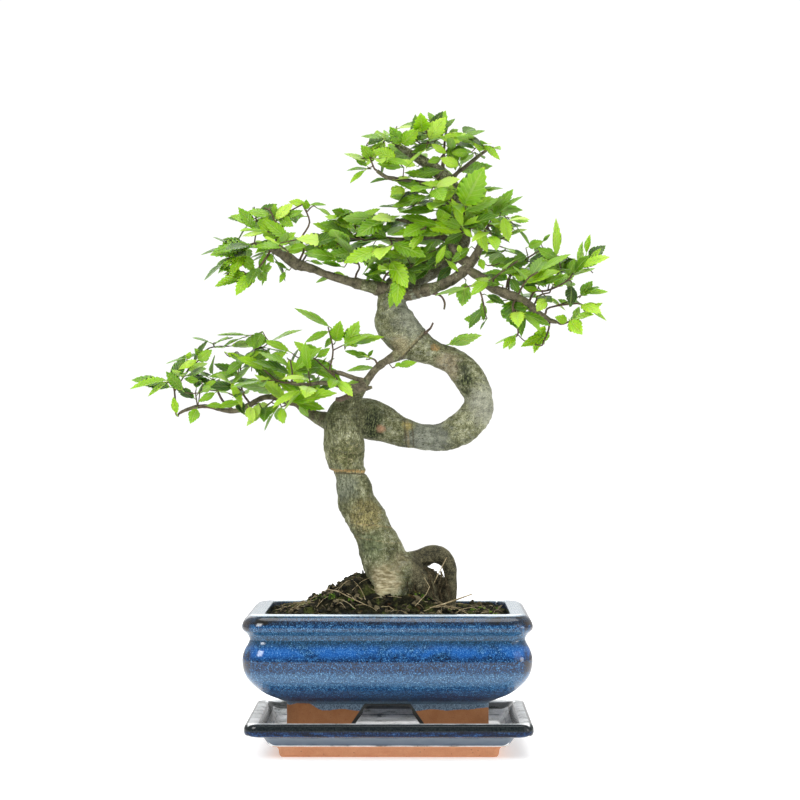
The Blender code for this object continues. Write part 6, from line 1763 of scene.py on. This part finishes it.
@dataclass
class LeafBlade:
    """The one toothed leaf that every copy is made from, modelled flat along +X. Sizes in metres."""

    length: float = 20 * MM
    half: float = 5.5 * MM
    stalk: float = 1.8 * MM
    sunk: float = 0.12 * MM
    rows: int = 8
    rib: float = 0.34 * MM
    swell: float = 0.30 * MM
    stalk_radius: float = 0.30 * MM
    stalk_end: float = 0.8 * MM
    tooth: float = 0.32
    tooth_out: float = 1.06
    notch: float = 0.80
    ripples: float = 8.0
    room: tuple[Sequence[float], Sequence[float]] = ((-1, -1, -1), (1, 1, 1))
    outline: tuple[tuple[float, float], ...] = (
        (0, 0.06), (0.05, 0.34), (0.12, 0.60), (0.22, 0.82), (0.34, 0.96), (0.45, 1.0), (0.58, 0.93), (0.7, 0.78),
        (0.82, 0.54), (0.92, 0.27), (1.0, 0.0),
    )
    mesh: Mesh = field(init=False)
    places: np.ndarray = field(init=False)
    data: np.ndarray = field(init=False)

    def across(self, share: float) -> float:
        """Half the blade's width at a share of its length, as a share of its largest."""
        return float(np.interp(share, *zip(*self.outline)))

    def sheet(self, name: str, columns: int, lift: Callable[[float], float], is_under: bool) -> Object:
        """One side of the blade, shaped from a grid with a tooth between every two rows of its edges.

        Args:
            name: The name of the sheet.
            columns: The faces across it.
            lift: Height over the edges for a share of the half width.
            is_under: Whether it is the underside.

        Returns:
            The sheet.
        """
        deselect()
        bpy.ops.mesh.primitive_grid_add(x_subdivisions=self.rows, y_subdivisions=columns, size=1)
        made = started(name)
        bpy.ops.object.mode_set(mode="EDIT")
        bpy.ops.mesh.select_all(action="DESELECT")
        bpy.ops.mesh.select_mode(type="EDGE")
        work = bmesh.from_edit_mesh(made.data)
        for edge in work.edges:
            edge.select = edge.is_boundary and all(abs(abs(v.co.y) - 0.5) < 1e-4 for v in edge.verts)
        bmesh.update_edit_mesh(made.data)
        bpy.ops.mesh.subdivide(number_cuts=1)
        work = bmesh.from_edit_mesh(made.data)
        uv = work.loops.layers.uv.new("LeafUV")
        for vertex in work.verts:
            share, side = vertex.co.x + 0.5, vertex.co.y * 2
            step = share * self.rows
            is_tooth = abs(side) > 0.99 and abs(step - round(step)) > 0.25
            vertex.co.z = share
            if is_tooth:
                share += self.tooth / self.rows
                side *= self.tooth_out + 0.03 / max(self.across(share), 0.25)
            elif abs(side) > 0.99 and 0 < step < self.rows:
                side *= self.notch
            for loop in vertex.link_loops:
                loop[uv].uv = (min(share, 1.0), 0.5 + max(-0.5, min(0.5, side / 2)))
            height = lift(min(1.0, abs(side))) * min(1.0, 6 * share * (1 - share)) if abs(side) < 0.9 else 0.0
            vertex.co = (share * self.length, side * self.across(share) * self.half, height)
        data = work.loops.layers.float_color.new("LeafData")
        for face in work.faces:
            for loop in face.loops:
                loop[data] = (0, float(is_under), 0, 1)
        bmesh.update_edit_mesh(made.data)
        deselect()
        return made

    def build(self) -> "LeafBlade":
        """Model the blade and its stalk and keep their mesh."""
        top = self.sheet("leaf_top", 2, lambda s: self.swell * (0.25 + 1.4 * s * (1 - s) * 2), False)
        under = self.sheet("leaf_under", 2, lambda s: -self.rib * (1 - s), True)
        blade = cleaned(joined("leaf_blade", [top, under]), 0.004)
        bpy.ops.object.mode_set(mode="EDIT")
        bpy.ops.mesh.select_all(action="SELECT")
        bpy.ops.mesh.fill_holes(sides=0)
        bpy.ops.mesh.normals_make_consistent(inside=False)
        deselect()
        start, end = -self.stalk - self.sunk, self.stalk_end
        bpy.ops.mesh.primitive_cylinder_add(
            vertices=5, radius=self.stalk_radius, depth=end - start, location=((start + end) / 2, 0, 0),
            rotation=(0, math.pi / 2, 0),
        )
        stalk = started("leaf_stalk")
        bpy.ops.object.transform_apply(location=True, rotation=True, scale=True)
        whole = smoothed(joined("leaf_form", [blade, stalk]), 55)
        self.mesh = whole.data
        bpy.data.objects.remove(whole)
        self.places = np.empty(len(self.mesh.vertices) * 3)
        self.mesh.vertices.foreach_get("co", self.places)
        self.places = self.places.reshape(-1, 3)
        self.data = np.empty(len(self.mesh.loops) * 4)
        self.mesh.attributes["LeafData"].data.foreach_get("color", self.data)
        self.data = self.data.reshape(-1, 4)
        LOG.info("leaf form: %d faces", len(self.mesh.polygons))
        return self

    def copy(self, frame: Matrix, shape: LeafShape) -> Object:
        """A leaf of its own size and bend, in place.

        Args:
            frame: Where its stalk starts, along +X with its upper face to +Z.
            shape: Its sizes, bend and tones.

        Returns:
            The leaf, kept inside the room it has.
        """
        is_blade = self.places[:, 0] > 0
        x = self.stalk + np.where(is_blade, self.places[:, 0] * shape.length / self.length, self.places[:, 0])
        y = np.where(is_blade, self.places[:, 1] * shape.width / 2 / self.half, self.places[:, 1])
        reach = self.stalk + shape.length
        share = np.clip(x / reach, 0, 1)
        z = self.places[:, 2] - shape.droop * share**2 * shape.length + shape.fold * np.abs(y)
        z = z + shape.curl * np.sin(share * self.ripples + 60 * shape.tone) * np.abs(y)
        local = np.stack([x, y, z, np.ones_like(x)], axis=1)
        mesh = self.mesh.copy()
        mesh.vertices.foreach_set("co", np.clip((local @ np.array(frame).T)[:, :3], *self.room).ravel())
        data = self.data.copy()
        data[:, 0] = shape.tone
        data[:, 2] = shape.lime
        mesh.attributes["LeafData"].data.foreach_set("color", data.ravel())
        return linked("leaf", mesh)


def point_on(places: Sequence[Vector], share: float) -> tuple[Vector, Vector]:
    """The place and heading at a share of the length of a chain of points."""
    lengths = [(b - a).length for a, b in zip(places, places[1:])]
    left = share * sum(lengths)
    for (a, b), length in zip(zip(places, places[1:]), lengths):
        if left <= length or b is places[-1]:
            return a + (b - a) * min(1.0, left / length), (b - a).normalized()
        left -= length


@dataclass
class Foliage:
    """The leafy sprays of the frame and the twigs added between them.

    Lengths are in millimetres and angles in degrees. A stem has one radius at its start and one at its end.
    """

    wood: Wood
    blade: LeafBlade
    swing: tuple[float, float] = (42, 66)
    lengths: tuple[float, float] = (0.82, 1.12)
    widths: tuple[float, float] = (0.5, 0.64)
    droops: tuple[float, float] = (0.05, 0.24)
    folds: tuple[float, float] = (0.05, 0.3)
    jitter: Place = (0.45, 0.3, 0.3)
    slim: float = 0.84
    broad: float = 0.56
    narrow: float = 0.42
    face: Place = (0.1, 0.62, 0.72)
    added_face: Place = (0.2, 0.45, 0.9)
    turns: tuple[int, ...] = (0, 35, -35, 70, -70, 110, -110, 145)
    proud: float = 0.3
    end_sunk: float = 0.5
    back_y: float = 9.0
    same_tip: float = 0.05
    tone: float = 0.52
    # Painted light and shade in the leaves' tone: brighter in front and at the top, darker behind and for the added
    # leaves inside the crown.
    painted_light_front: float = 0.10
    painted_shade_back: float = -0.06
    painted_shade_inner: float = -0.16
    painted_light_top: float = 0.08
    tone_spread: float = 0.2
    front_y: float = -8.0
    top_z: float = 312.0
    lime_share: float = 0.08
    curl: float = 0.12
    regions: dict[str, str] = field(default_factory=lambda: {
        "left": "left", "mid": "centre", "right": "right", "hang": "right", "crown": "crown", "low": "low",
        "loop": "low",
    })
    first_stem: tuple[float, float] = (0.72, 0.42)
    later_stem: tuple[float, float] = (0.42, 0.38)
    added_stem: tuple[float, float] = (0.42, 0.26)
    added_spacing: Place = (0.3, 0.65, 0.4)
    fine_stem: tuple[float, float] = (0.38, 0.26)
    stems: dict[str, list[Route]] = field(default_factory=dict)
    tones: random.Random = field(default_factory=lambda: random.Random(SEED))

    def seat(self, branch: str, target: Vector) -> Vector:
        """Where a spray's stem starts on its branch's solid, in millimetres."""
        best = None
        route = TRUNK_UPPER if branch == "trunk_upper" else BRANCHES[branch]
        for start, end in zip(route, route[1:]):
            a, b = Vector(start[:3]), Vector(end[:3])
            along = (b - a).normalized()
            share = max(0.0, min(1.0, (target - a).dot(along) / (b - a).length))
            point = a.lerp(b, share)
            radius = start[3] + (end[3] - start[3]) * share
            if best is None or (target - point).length < (target - best[0]).length:
                best = point, radius, along, end is route[-1] and share == 1.0
        point, radius, along, is_end = best
        if is_end:
            return point + along * self.proud
        return point + (target - point).normalized() * (radius + self.proud)

    def leaf_frame(
        self, places: Sequence[Vector], is_terminal: bool, share: float, side: int, draw: random.Random,
        size: float, face: Place,
    ) -> tuple[Matrix, Vector, Sizes]:
        """The frame of one leaf on a stem, with the same number of draws for each.

        Args:
            places: The stem's points, in metres.
            is_terminal: Whether it is the stem's last leaf.
            share: How far along the stem it sits.
            side: 1 or -1 for the side of the stem.
            draw: The stem's random numbers.
            size: The leaf's length in millimetres.
            face: Where upper faces look.

        Returns:
            The frame, the stem's heading there and length, width, droop and fold.
        """
        spot, heading = point_on(places, share)
        if is_terminal:
            spot = spot - heading * self.end_sunk * MM
        swing = math.radians(draw.uniform(*self.swing))
        length = size * MM * draw.uniform(*self.lengths)
        width = length * draw.uniform(*self.widths)
        droop = draw.uniform(*self.droops)
        fold = draw.uniform(*self.folds)
        jitter = Vector([draw.uniform(-limit, limit) for limit in self.jitter])
        up = Vector((0, 0, 1)) if abs(heading.z) < 0.85 else Vector((0, -1, 0))
        across = heading.cross(up).normalized()
        pointing = heading if is_terminal else heading * math.cos(swing) + across * side * math.sin(swing)
        outwards = 1 if spot.x > 0 else -1
        backwards = 1 if spot.y > self.back_y * MM else -1
        looking = Vector((face[0] * outwards, face[1] * backwards, face[2])) + jitter
        pointing = pointing.normalized()
        normal = (looking - pointing * looking.dot(pointing)).normalized()
        frame = Matrix((pointing, normal.cross(pointing), normal)).transposed().to_4x4()
        frame.translation = spot
        return frame, heading, (length, width, droop, fold)

    def leaves_on(
        self, chain: Sequence[Vector], count: int, spacing: Place, index: int, draw: random.Random, size: float,
        face: Place,
    ) -> Iterator[tuple[Matrix, Vector, Sizes]]:
        """The leaves of one stem, on its two sides by turns and the last at its end.

        Args:
            chain: The stem's points, in millimetres.
            count: How many leaves it has.
            spacing: The bare share of the stem, the leafy share, and how far along its own part each leaf sits.
            index: The stem's number in its spray, which sets the side of its first leaf.
            draw: The stem's random numbers.
            size: The leaves' length in millimetres.
            face: Where upper faces look.

        Yields:
            What leaf_frame gives for each.
        """
        bare, leafy, ahead = spacing
        places = [place * MM for place in chain]
        for order in range(count):
            is_terminal = order == count - 1
            share = 1.0 if is_terminal else bare + leafy * (order + ahead) / count
            side = 1 if (order + index) % 2 else -1
            yield self.leaf_frame(places, is_terminal, share, side, draw, size, face)

    def turned(self, frame: Matrix, heading: Vector, turn: float) -> Matrix:
        """A leaf's frame turned about its stem by an angle in degrees."""
        spot = frame.translation.copy()
        return (
            Matrix.Translation(spot) @ Matrix.Rotation(math.radians(turn), 4, heading)
            @ Matrix.Translation(-spot) @ frame
        )

    def toned(self, frame: Matrix, sizes: Sizes, is_added: bool) -> LeafShape:
        """A leaf's shape with its tones, with painted light and shade: brighter outside and in front, darker inside."""
        spot = frame.translation / MM
        painted_light_offset = self.painted_light_front if spot.y < self.front_y else self.painted_shade_back
        if is_added:
            painted_light_offset += self.painted_shade_inner
        if spot.z > self.top_z:
            painted_light_offset += self.painted_light_top
        length, width, droop, fold = sizes
        tone = min(1.0, max(0.0, self.tone + painted_light_offset + self.tones.gauss(0, self.tone_spread)))
        lime = self.tones.uniform(0.3, 0.8) if self.tones.random() < self.lime_share else 0.0
        curl = self.tones.uniform(-self.curl, self.curl)
        return LeafShape(length, width * self.slim, droop, fold, curl, tone, lime)

    def matched(self, corners: KDTree, frame: Matrix, heading: Vector, sizes: Sizes) -> Matrix | None:
        """A leaf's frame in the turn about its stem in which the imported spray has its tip, or None."""
        tip = Vector((self.blade.stalk + sizes[0], 0, -sizes[2] * sizes[0]))
        for turn in self.turns:
            taken = self.turned(frame, heading, turn)
            if corners.find(taken @ tip)[2] < self.same_tip * MM:
                return taken
        return None

    def sprays(self, nodes: dict[str, Object], material: Material) -> None:
        """Rebuild each spray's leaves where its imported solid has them."""
        for number, (name, (branch, stems)) in enumerate(SPRAYS.items()):
            draw = random.Random(SEED * 1000 + number)
            corners = points_tree([vertex.co for vertex in nodes["spray_" + name].data.vertices])
            found = []
            region = self.regions[name.split("_")[0]]
            for index, (points, count, size, bare) in enumerate(stems):
                chain = [Vector(p) for p in points]
                if index == 0:
                    chain.insert(0, self.seat(branch, chain[0]))
                    line = [Vector(row[:3]) for row in curved(self.wood.branches[branch], 6)]
                    foot = min(line, key=lambda place: (place - chain[0]).length)
                    self.stem(region, [foot, *chain], self.first_stem)
                else:
                    self.stem(region, chain, self.later_stem)
                spacing = (bare, 1 - bare, 0.3)
                for leaf in self.leaves_on(chain, count, spacing, index, draw, size, self.face):
                    taken = self.matched(corners, *leaf)
                    if taken is None:
                        LOG.warning("spray_%s: a leaf of stem %d has no solid", name, index)
                    else:
                        found.append((taken, leaf[2]))
            shown = [leaf for leaf in found if not self.is_open(leaf[0], leaf[1][0], (0.5,))] or found
            LOG.info("spray_%s: %d of %d leaves shown", name, len(shown), len(found))
            leaves = [self.blade.copy(taken, self.toned(taken, sizes, False)) for taken, sizes in shown]
            settled(joined("leaves_" + name, leaves), material, Slot.LEAF, ["spray_" + name])

    def stem(self, region: str, chain: Sequence[Vector], radii: tuple[float, float]) -> None:
        """Keep a stem's smooth route for its region's twigs."""
        start, end = radii
        last = len(chain) - 1
        rows = [(*place, start + (end - start) * i / last) for i, place in enumerate(chain)]
        self.stems.setdefault(region, []).append(tuple(curved(rows, 4)))

    def anchors(self) -> KDTree:
        """Places on the wood and on the stems where an added twig may start."""
        spots = []
        for name, route in self.wood.branches.items():
            if not name.startswith("root") and name != "trunk_lower":
                spots += [Vector(row[:3]) for row in curved(route, 6)]
        for routes in self.stems.values():
            spots += [Vector(row[:3]) for route in routes for row in route]
        return points_tree(spots)

    def is_open(self, frame: Matrix, length: float, shares: Sequence[float]) -> bool:
        """Whether the camera sees a share of a leaf's length in one of the crown's gaps."""
        eye = Vector(Studio.eye)
        for share in shares:
            spot = (frame @ Vector((self.blade.stalk + share * length, 0, 0))) / MM
            seen = eye + (spot - eye) * (eye.y / (eye.y - spot.y))
            if any(math.hypot(seen.x - x, seen.z - z) < radius for x, z, radius in GAPS):
                return True
        return False

    def fits(self, frame: Matrix, shape: LeafShape) -> bool:
        """Whether a leaf's base, middle and tip are inside the room."""
        low, high = self.blade.room
        for share in (0.0, 0.5, 1.0):
            spot = frame @ Vector((self.blade.stalk + share * shape.length, 0, -shape.droop * share**2 * shape.length))
            if not all(low[i] < spot[i] < high[i] for i in range(3)):
                return False
        return True

    def kept(self, frame: Matrix, shape: LeafShape) -> list[Object]:
        """A leaf, or nothing where it would leave the room or cut into the trunk."""
        if not self.fits(frame, shape):
            return []
        leaf = self.blade.copy(frame, shape)
        if tree_of(leaf).overlap(self.wood.tree):
            bpy.data.objects.remove(leaf)
            return []
        return [leaf]

    def added(self, material: Material) -> None:
        """Grow the added twigs and the leaves read one by one from the nearest wood."""
        near = self.anchors()
        for number, (region, rows) in enumerate(TWIGS.items()):
            draw = random.Random(SEED * 100 + number)
            leaves = []
            for x, y, z, count, size in rows:
                tip = Vector((x, y, z))
                start = near.find(tip)[0]
                middle = start.lerp(tip, 0.5) + Vector([draw.uniform(-1.5, 1.5) for _ in range(3)]) + Vector((0, 0, 1))
                chain = [start, middle, tip]
                self.stem(region, chain, self.added_stem)
                on_twig = self.leaves_on(chain, count, self.added_spacing, 0, draw, size, self.added_face)
                for frame, _, sizes in on_twig:
                    if not self.is_open(frame, sizes[0], (0.3, 0.6, 0.95)):
                        leaves += self.kept(frame, self.toned(frame, sizes, True))
            settled(joined("foliage_" + region, leaves), material, Slot.LEAF)
        for region in LEAVES:
            settled(joined("outer_leaves_" + region, self.outer(region)), material, Slot.LEAF)

    def seen(self, x: float, y: float, z: float) -> Vector:
        """The place at a depth that the camera sees where x, z is at the middle's depth, in millimetres."""
        eye = Vector(Studio.eye)
        return eye + (Vector((x, 0, z)) - eye) * ((y - eye.y) / -eye.y)

    def outer(self, region: str) -> list[Object]:
        """The leaves of a region that are read one by one, and the twigs to their bases."""
        leaves, bases = [], []
        for x0, z0, x1, z1, wide, y, tone in LEAVES[region]:
            base, tip = self.seen(x0, y, z0), self.seen(x1, y, z1)
            length = max((tip - base).length, wide / self.broad)
            tip.y -= math.sqrt(max(0.0, length**2 - (tip - base).length_squared))
            width = max(wide, length * self.narrow)
            turn = math.acos(min(1.0, wide / width))
            heading = (tip - base).normalized()
            above = heading.cross(Vector((0, 1, 0)))
            above = (above if above.z > 0 else -above).normalized()
            towards = above.cross(heading)
            towards = towards if towards.y < 0 else -towards
            if tone > 1:
                towards, tone = -towards, tone - 0.5
            normal = towards * math.cos(turn) + above * math.sin(turn)
            frame = Matrix((heading, normal.cross(heading), normal)).transposed().to_4x4()
            frame.translation = (base - heading * self.blade.stalk / MM) * MM
            draw = self.tones
            droop, fold = draw.uniform(-0.02, 0.16), draw.uniform(0.08, 0.42)
            curl = draw.uniform(-self.curl, self.curl)
            frame = frame @ Matrix.Rotation(-math.atan(droop), 4, "Y")
            tone = min(1.0, max(0.0, tone + draw.gauss(0, 0.05)))
            shape = LeafShape(length * MM, width * MM, droop, fold, curl, tone, 0.2 if tone > 0.97 else 0.0)
            made = self.kept(frame, shape)
            if made:
                leaves += made
                bases.append(frame.translation / MM)
        self.reach(region, bases)
        return leaves

    def reach(self, region: str, targets: Sequence[Vector]) -> None:
        """Grow a fine twig to each place, nearest first, from wood, stems or a twig grown before."""
        near = self.anchors()
        starts = [near.find(target)[0] for target in targets]
        left = set(range(len(targets)))
        while left:
            index = min(left, key=lambda i: (targets[i] - starts[i]).length)
            left.remove(index)
            start, target = starts[index], targets[index]
            length = (target - start).length
            if length > 0.4:
                middle = start.lerp(target, 0.5) + Vector((0, 0, -0.07 * length))
                self.stem(region, [start, middle, target], self.fine_stem)
            for other in left:
                for share in (0.5, 0.75, 1.0):
                    place = start.lerp(target, share)
                    if (targets[other] - place).length < (targets[other] - starts[other]).length:
                        starts[other] = place

    def twigs(self) -> None:
        """The stems of every region as fine dark twigs."""
        material = TwigBark("twig_bark", (0.030, 0.020, 0.012), (0.15, 0.105, 0.062)).material()
        for region, routes in self.stems.items():
            settled(smoothed(tubes("twigs_" + region, routes, 6), 60), material, Slot.BARK)


# ---- Studio ----------------------------------


@dataclass
class Studio:
    """Camera of the photograph, soft light and a pale floor.

    Places are in millimetres. Each lamp has its name, its place, its size in metres and its watts. The surrounding
    has its strength in front, behind and where the camera looks.
    """

    eye: Place = (14.0, -1429.0, 192.2)
    aim: Place = (0.0, 0.0, 180.0)
    focal: float = 2581.0
    picture: float = 800.0
    shift_px: float = 15.0
    lights: tuple[tuple[str, Place, float, float], ...] = (
        ("key", (-900, -1300, 1100), 0.7, 20.0), ("fill", (1200, -1100, 700), 1.2, 6.0),
        ("top", (100, -100, 1500), 1.2, 16.5), ("back", (-300, 1300, 900), 1.2, 8.0),
        ("edge", (1500, -700, 250), 0.5, 5.0),
    )
    front: float = 0.2
    back: float = 0.75
    white: float = 1.05
    floor_size: float = 3.4

    def camera(self) -> None:
        """A level camera, turned a little to the left."""
        data = bpy.data.cameras.new("camera")
        data.sensor_width = 36.0
        data.lens = self.focal / self.picture * data.sensor_width
        made = linked("camera", data)
        made.location = Vector(self.eye) * MM
        made.rotation_euler = (math.pi / 2, 0, math.atan(self.shift_px / self.focal))
        bpy.context.scene.camera = made

    def light(self) -> None:
        """Soft area lamps and an even pale surrounding."""
        aim = Vector(self.aim) * MM
        for name, place, size, power in self.lights:
            data = bpy.data.lights.new(name, "AREA")
            data.size = size
            data.energy = power
            made = linked(name, data)
            made.location = Vector(place) * MM
            made.rotation_euler = (aim - made.location).to_track_quat("-Z", "Y").to_euler()
        self.surround()
        bpy.context.scene.view_settings.view_transform = "Standard"

    def surround(self) -> None:
        """A surrounding that is white to look at, and darker in front where the glaze reflects it."""
        world = bpy.data.worlds.new("pale_world")
        world.use_nodes = True
        nodes, links = world.node_tree.nodes, world.node_tree.links
        split = nodes.new("ShaderNodeSeparateXYZ")
        links.new(nodes.new("ShaderNodeTexCoord").outputs["Generated"], split.inputs[0])
        ramp = nodes.new("ShaderNodeMapRange")
        ramp.inputs["From Min"].default_value, ramp.inputs["From Max"].default_value = -0.75, 0.35
        ramp.inputs["To Min"].default_value, ramp.inputs["To Max"].default_value = self.front, self.back
        links.new(split.outputs["Y"], ramp.inputs["Value"])
        seen = nodes.new("ShaderNodeMix")
        links.new(nodes.new("ShaderNodeLightPath").outputs["Is Camera Ray"], seen.inputs[0])
        links.new(ramp.outputs[0], seen.inputs[2])
        seen.inputs[3].default_value = self.white
        links.new(seen.outputs[0], nodes["Background"].inputs["Strength"])
        nodes["Background"].inputs["Color"].default_value = (1, 1, 1, 1)
        bpy.context.scene.world = world

    def floor(self) -> None:
        """A wide pale floor under the tray."""
        deselect()
        bpy.ops.mesh.primitive_plane_add(size=self.floor_size)
        made = started("floor")
        made.data.materials.append(PaleFloor().material())
        made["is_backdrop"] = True


def main(frame: dict) -> None:
    """Build the studio and every piece."""
    nodes = frame["nodes"]
    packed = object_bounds()
    studio = Studio()
    studio.camera()
    studio.light()
    DripTray().build()
    Pot().build()
    dress_screens(nodes)
    wood = Wood()
    wood.trunk()
    wood.limbs()
    wood.snags()
    soil = Soil()
    soil.build(nodes["soil"])
    soil.chips(wood.tree)
    soil.straws(wood.tree)
    soil.fibres()
    soil.moss(wood.tree)
    skin = LeafSkin().material()
    foliage = Foliage(wood, LeafBlade(room=packed).build())
    foliage.sprays(nodes, skin)
    foliage.added(skin)
    foliage.twigs()
    studio.floor()
    bpy.context.view_layer.update()


if __name__ == "__main__":
    logging.basicConfig(level=logging.INFO, format="%(name)s: %(message)s")
    main(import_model())
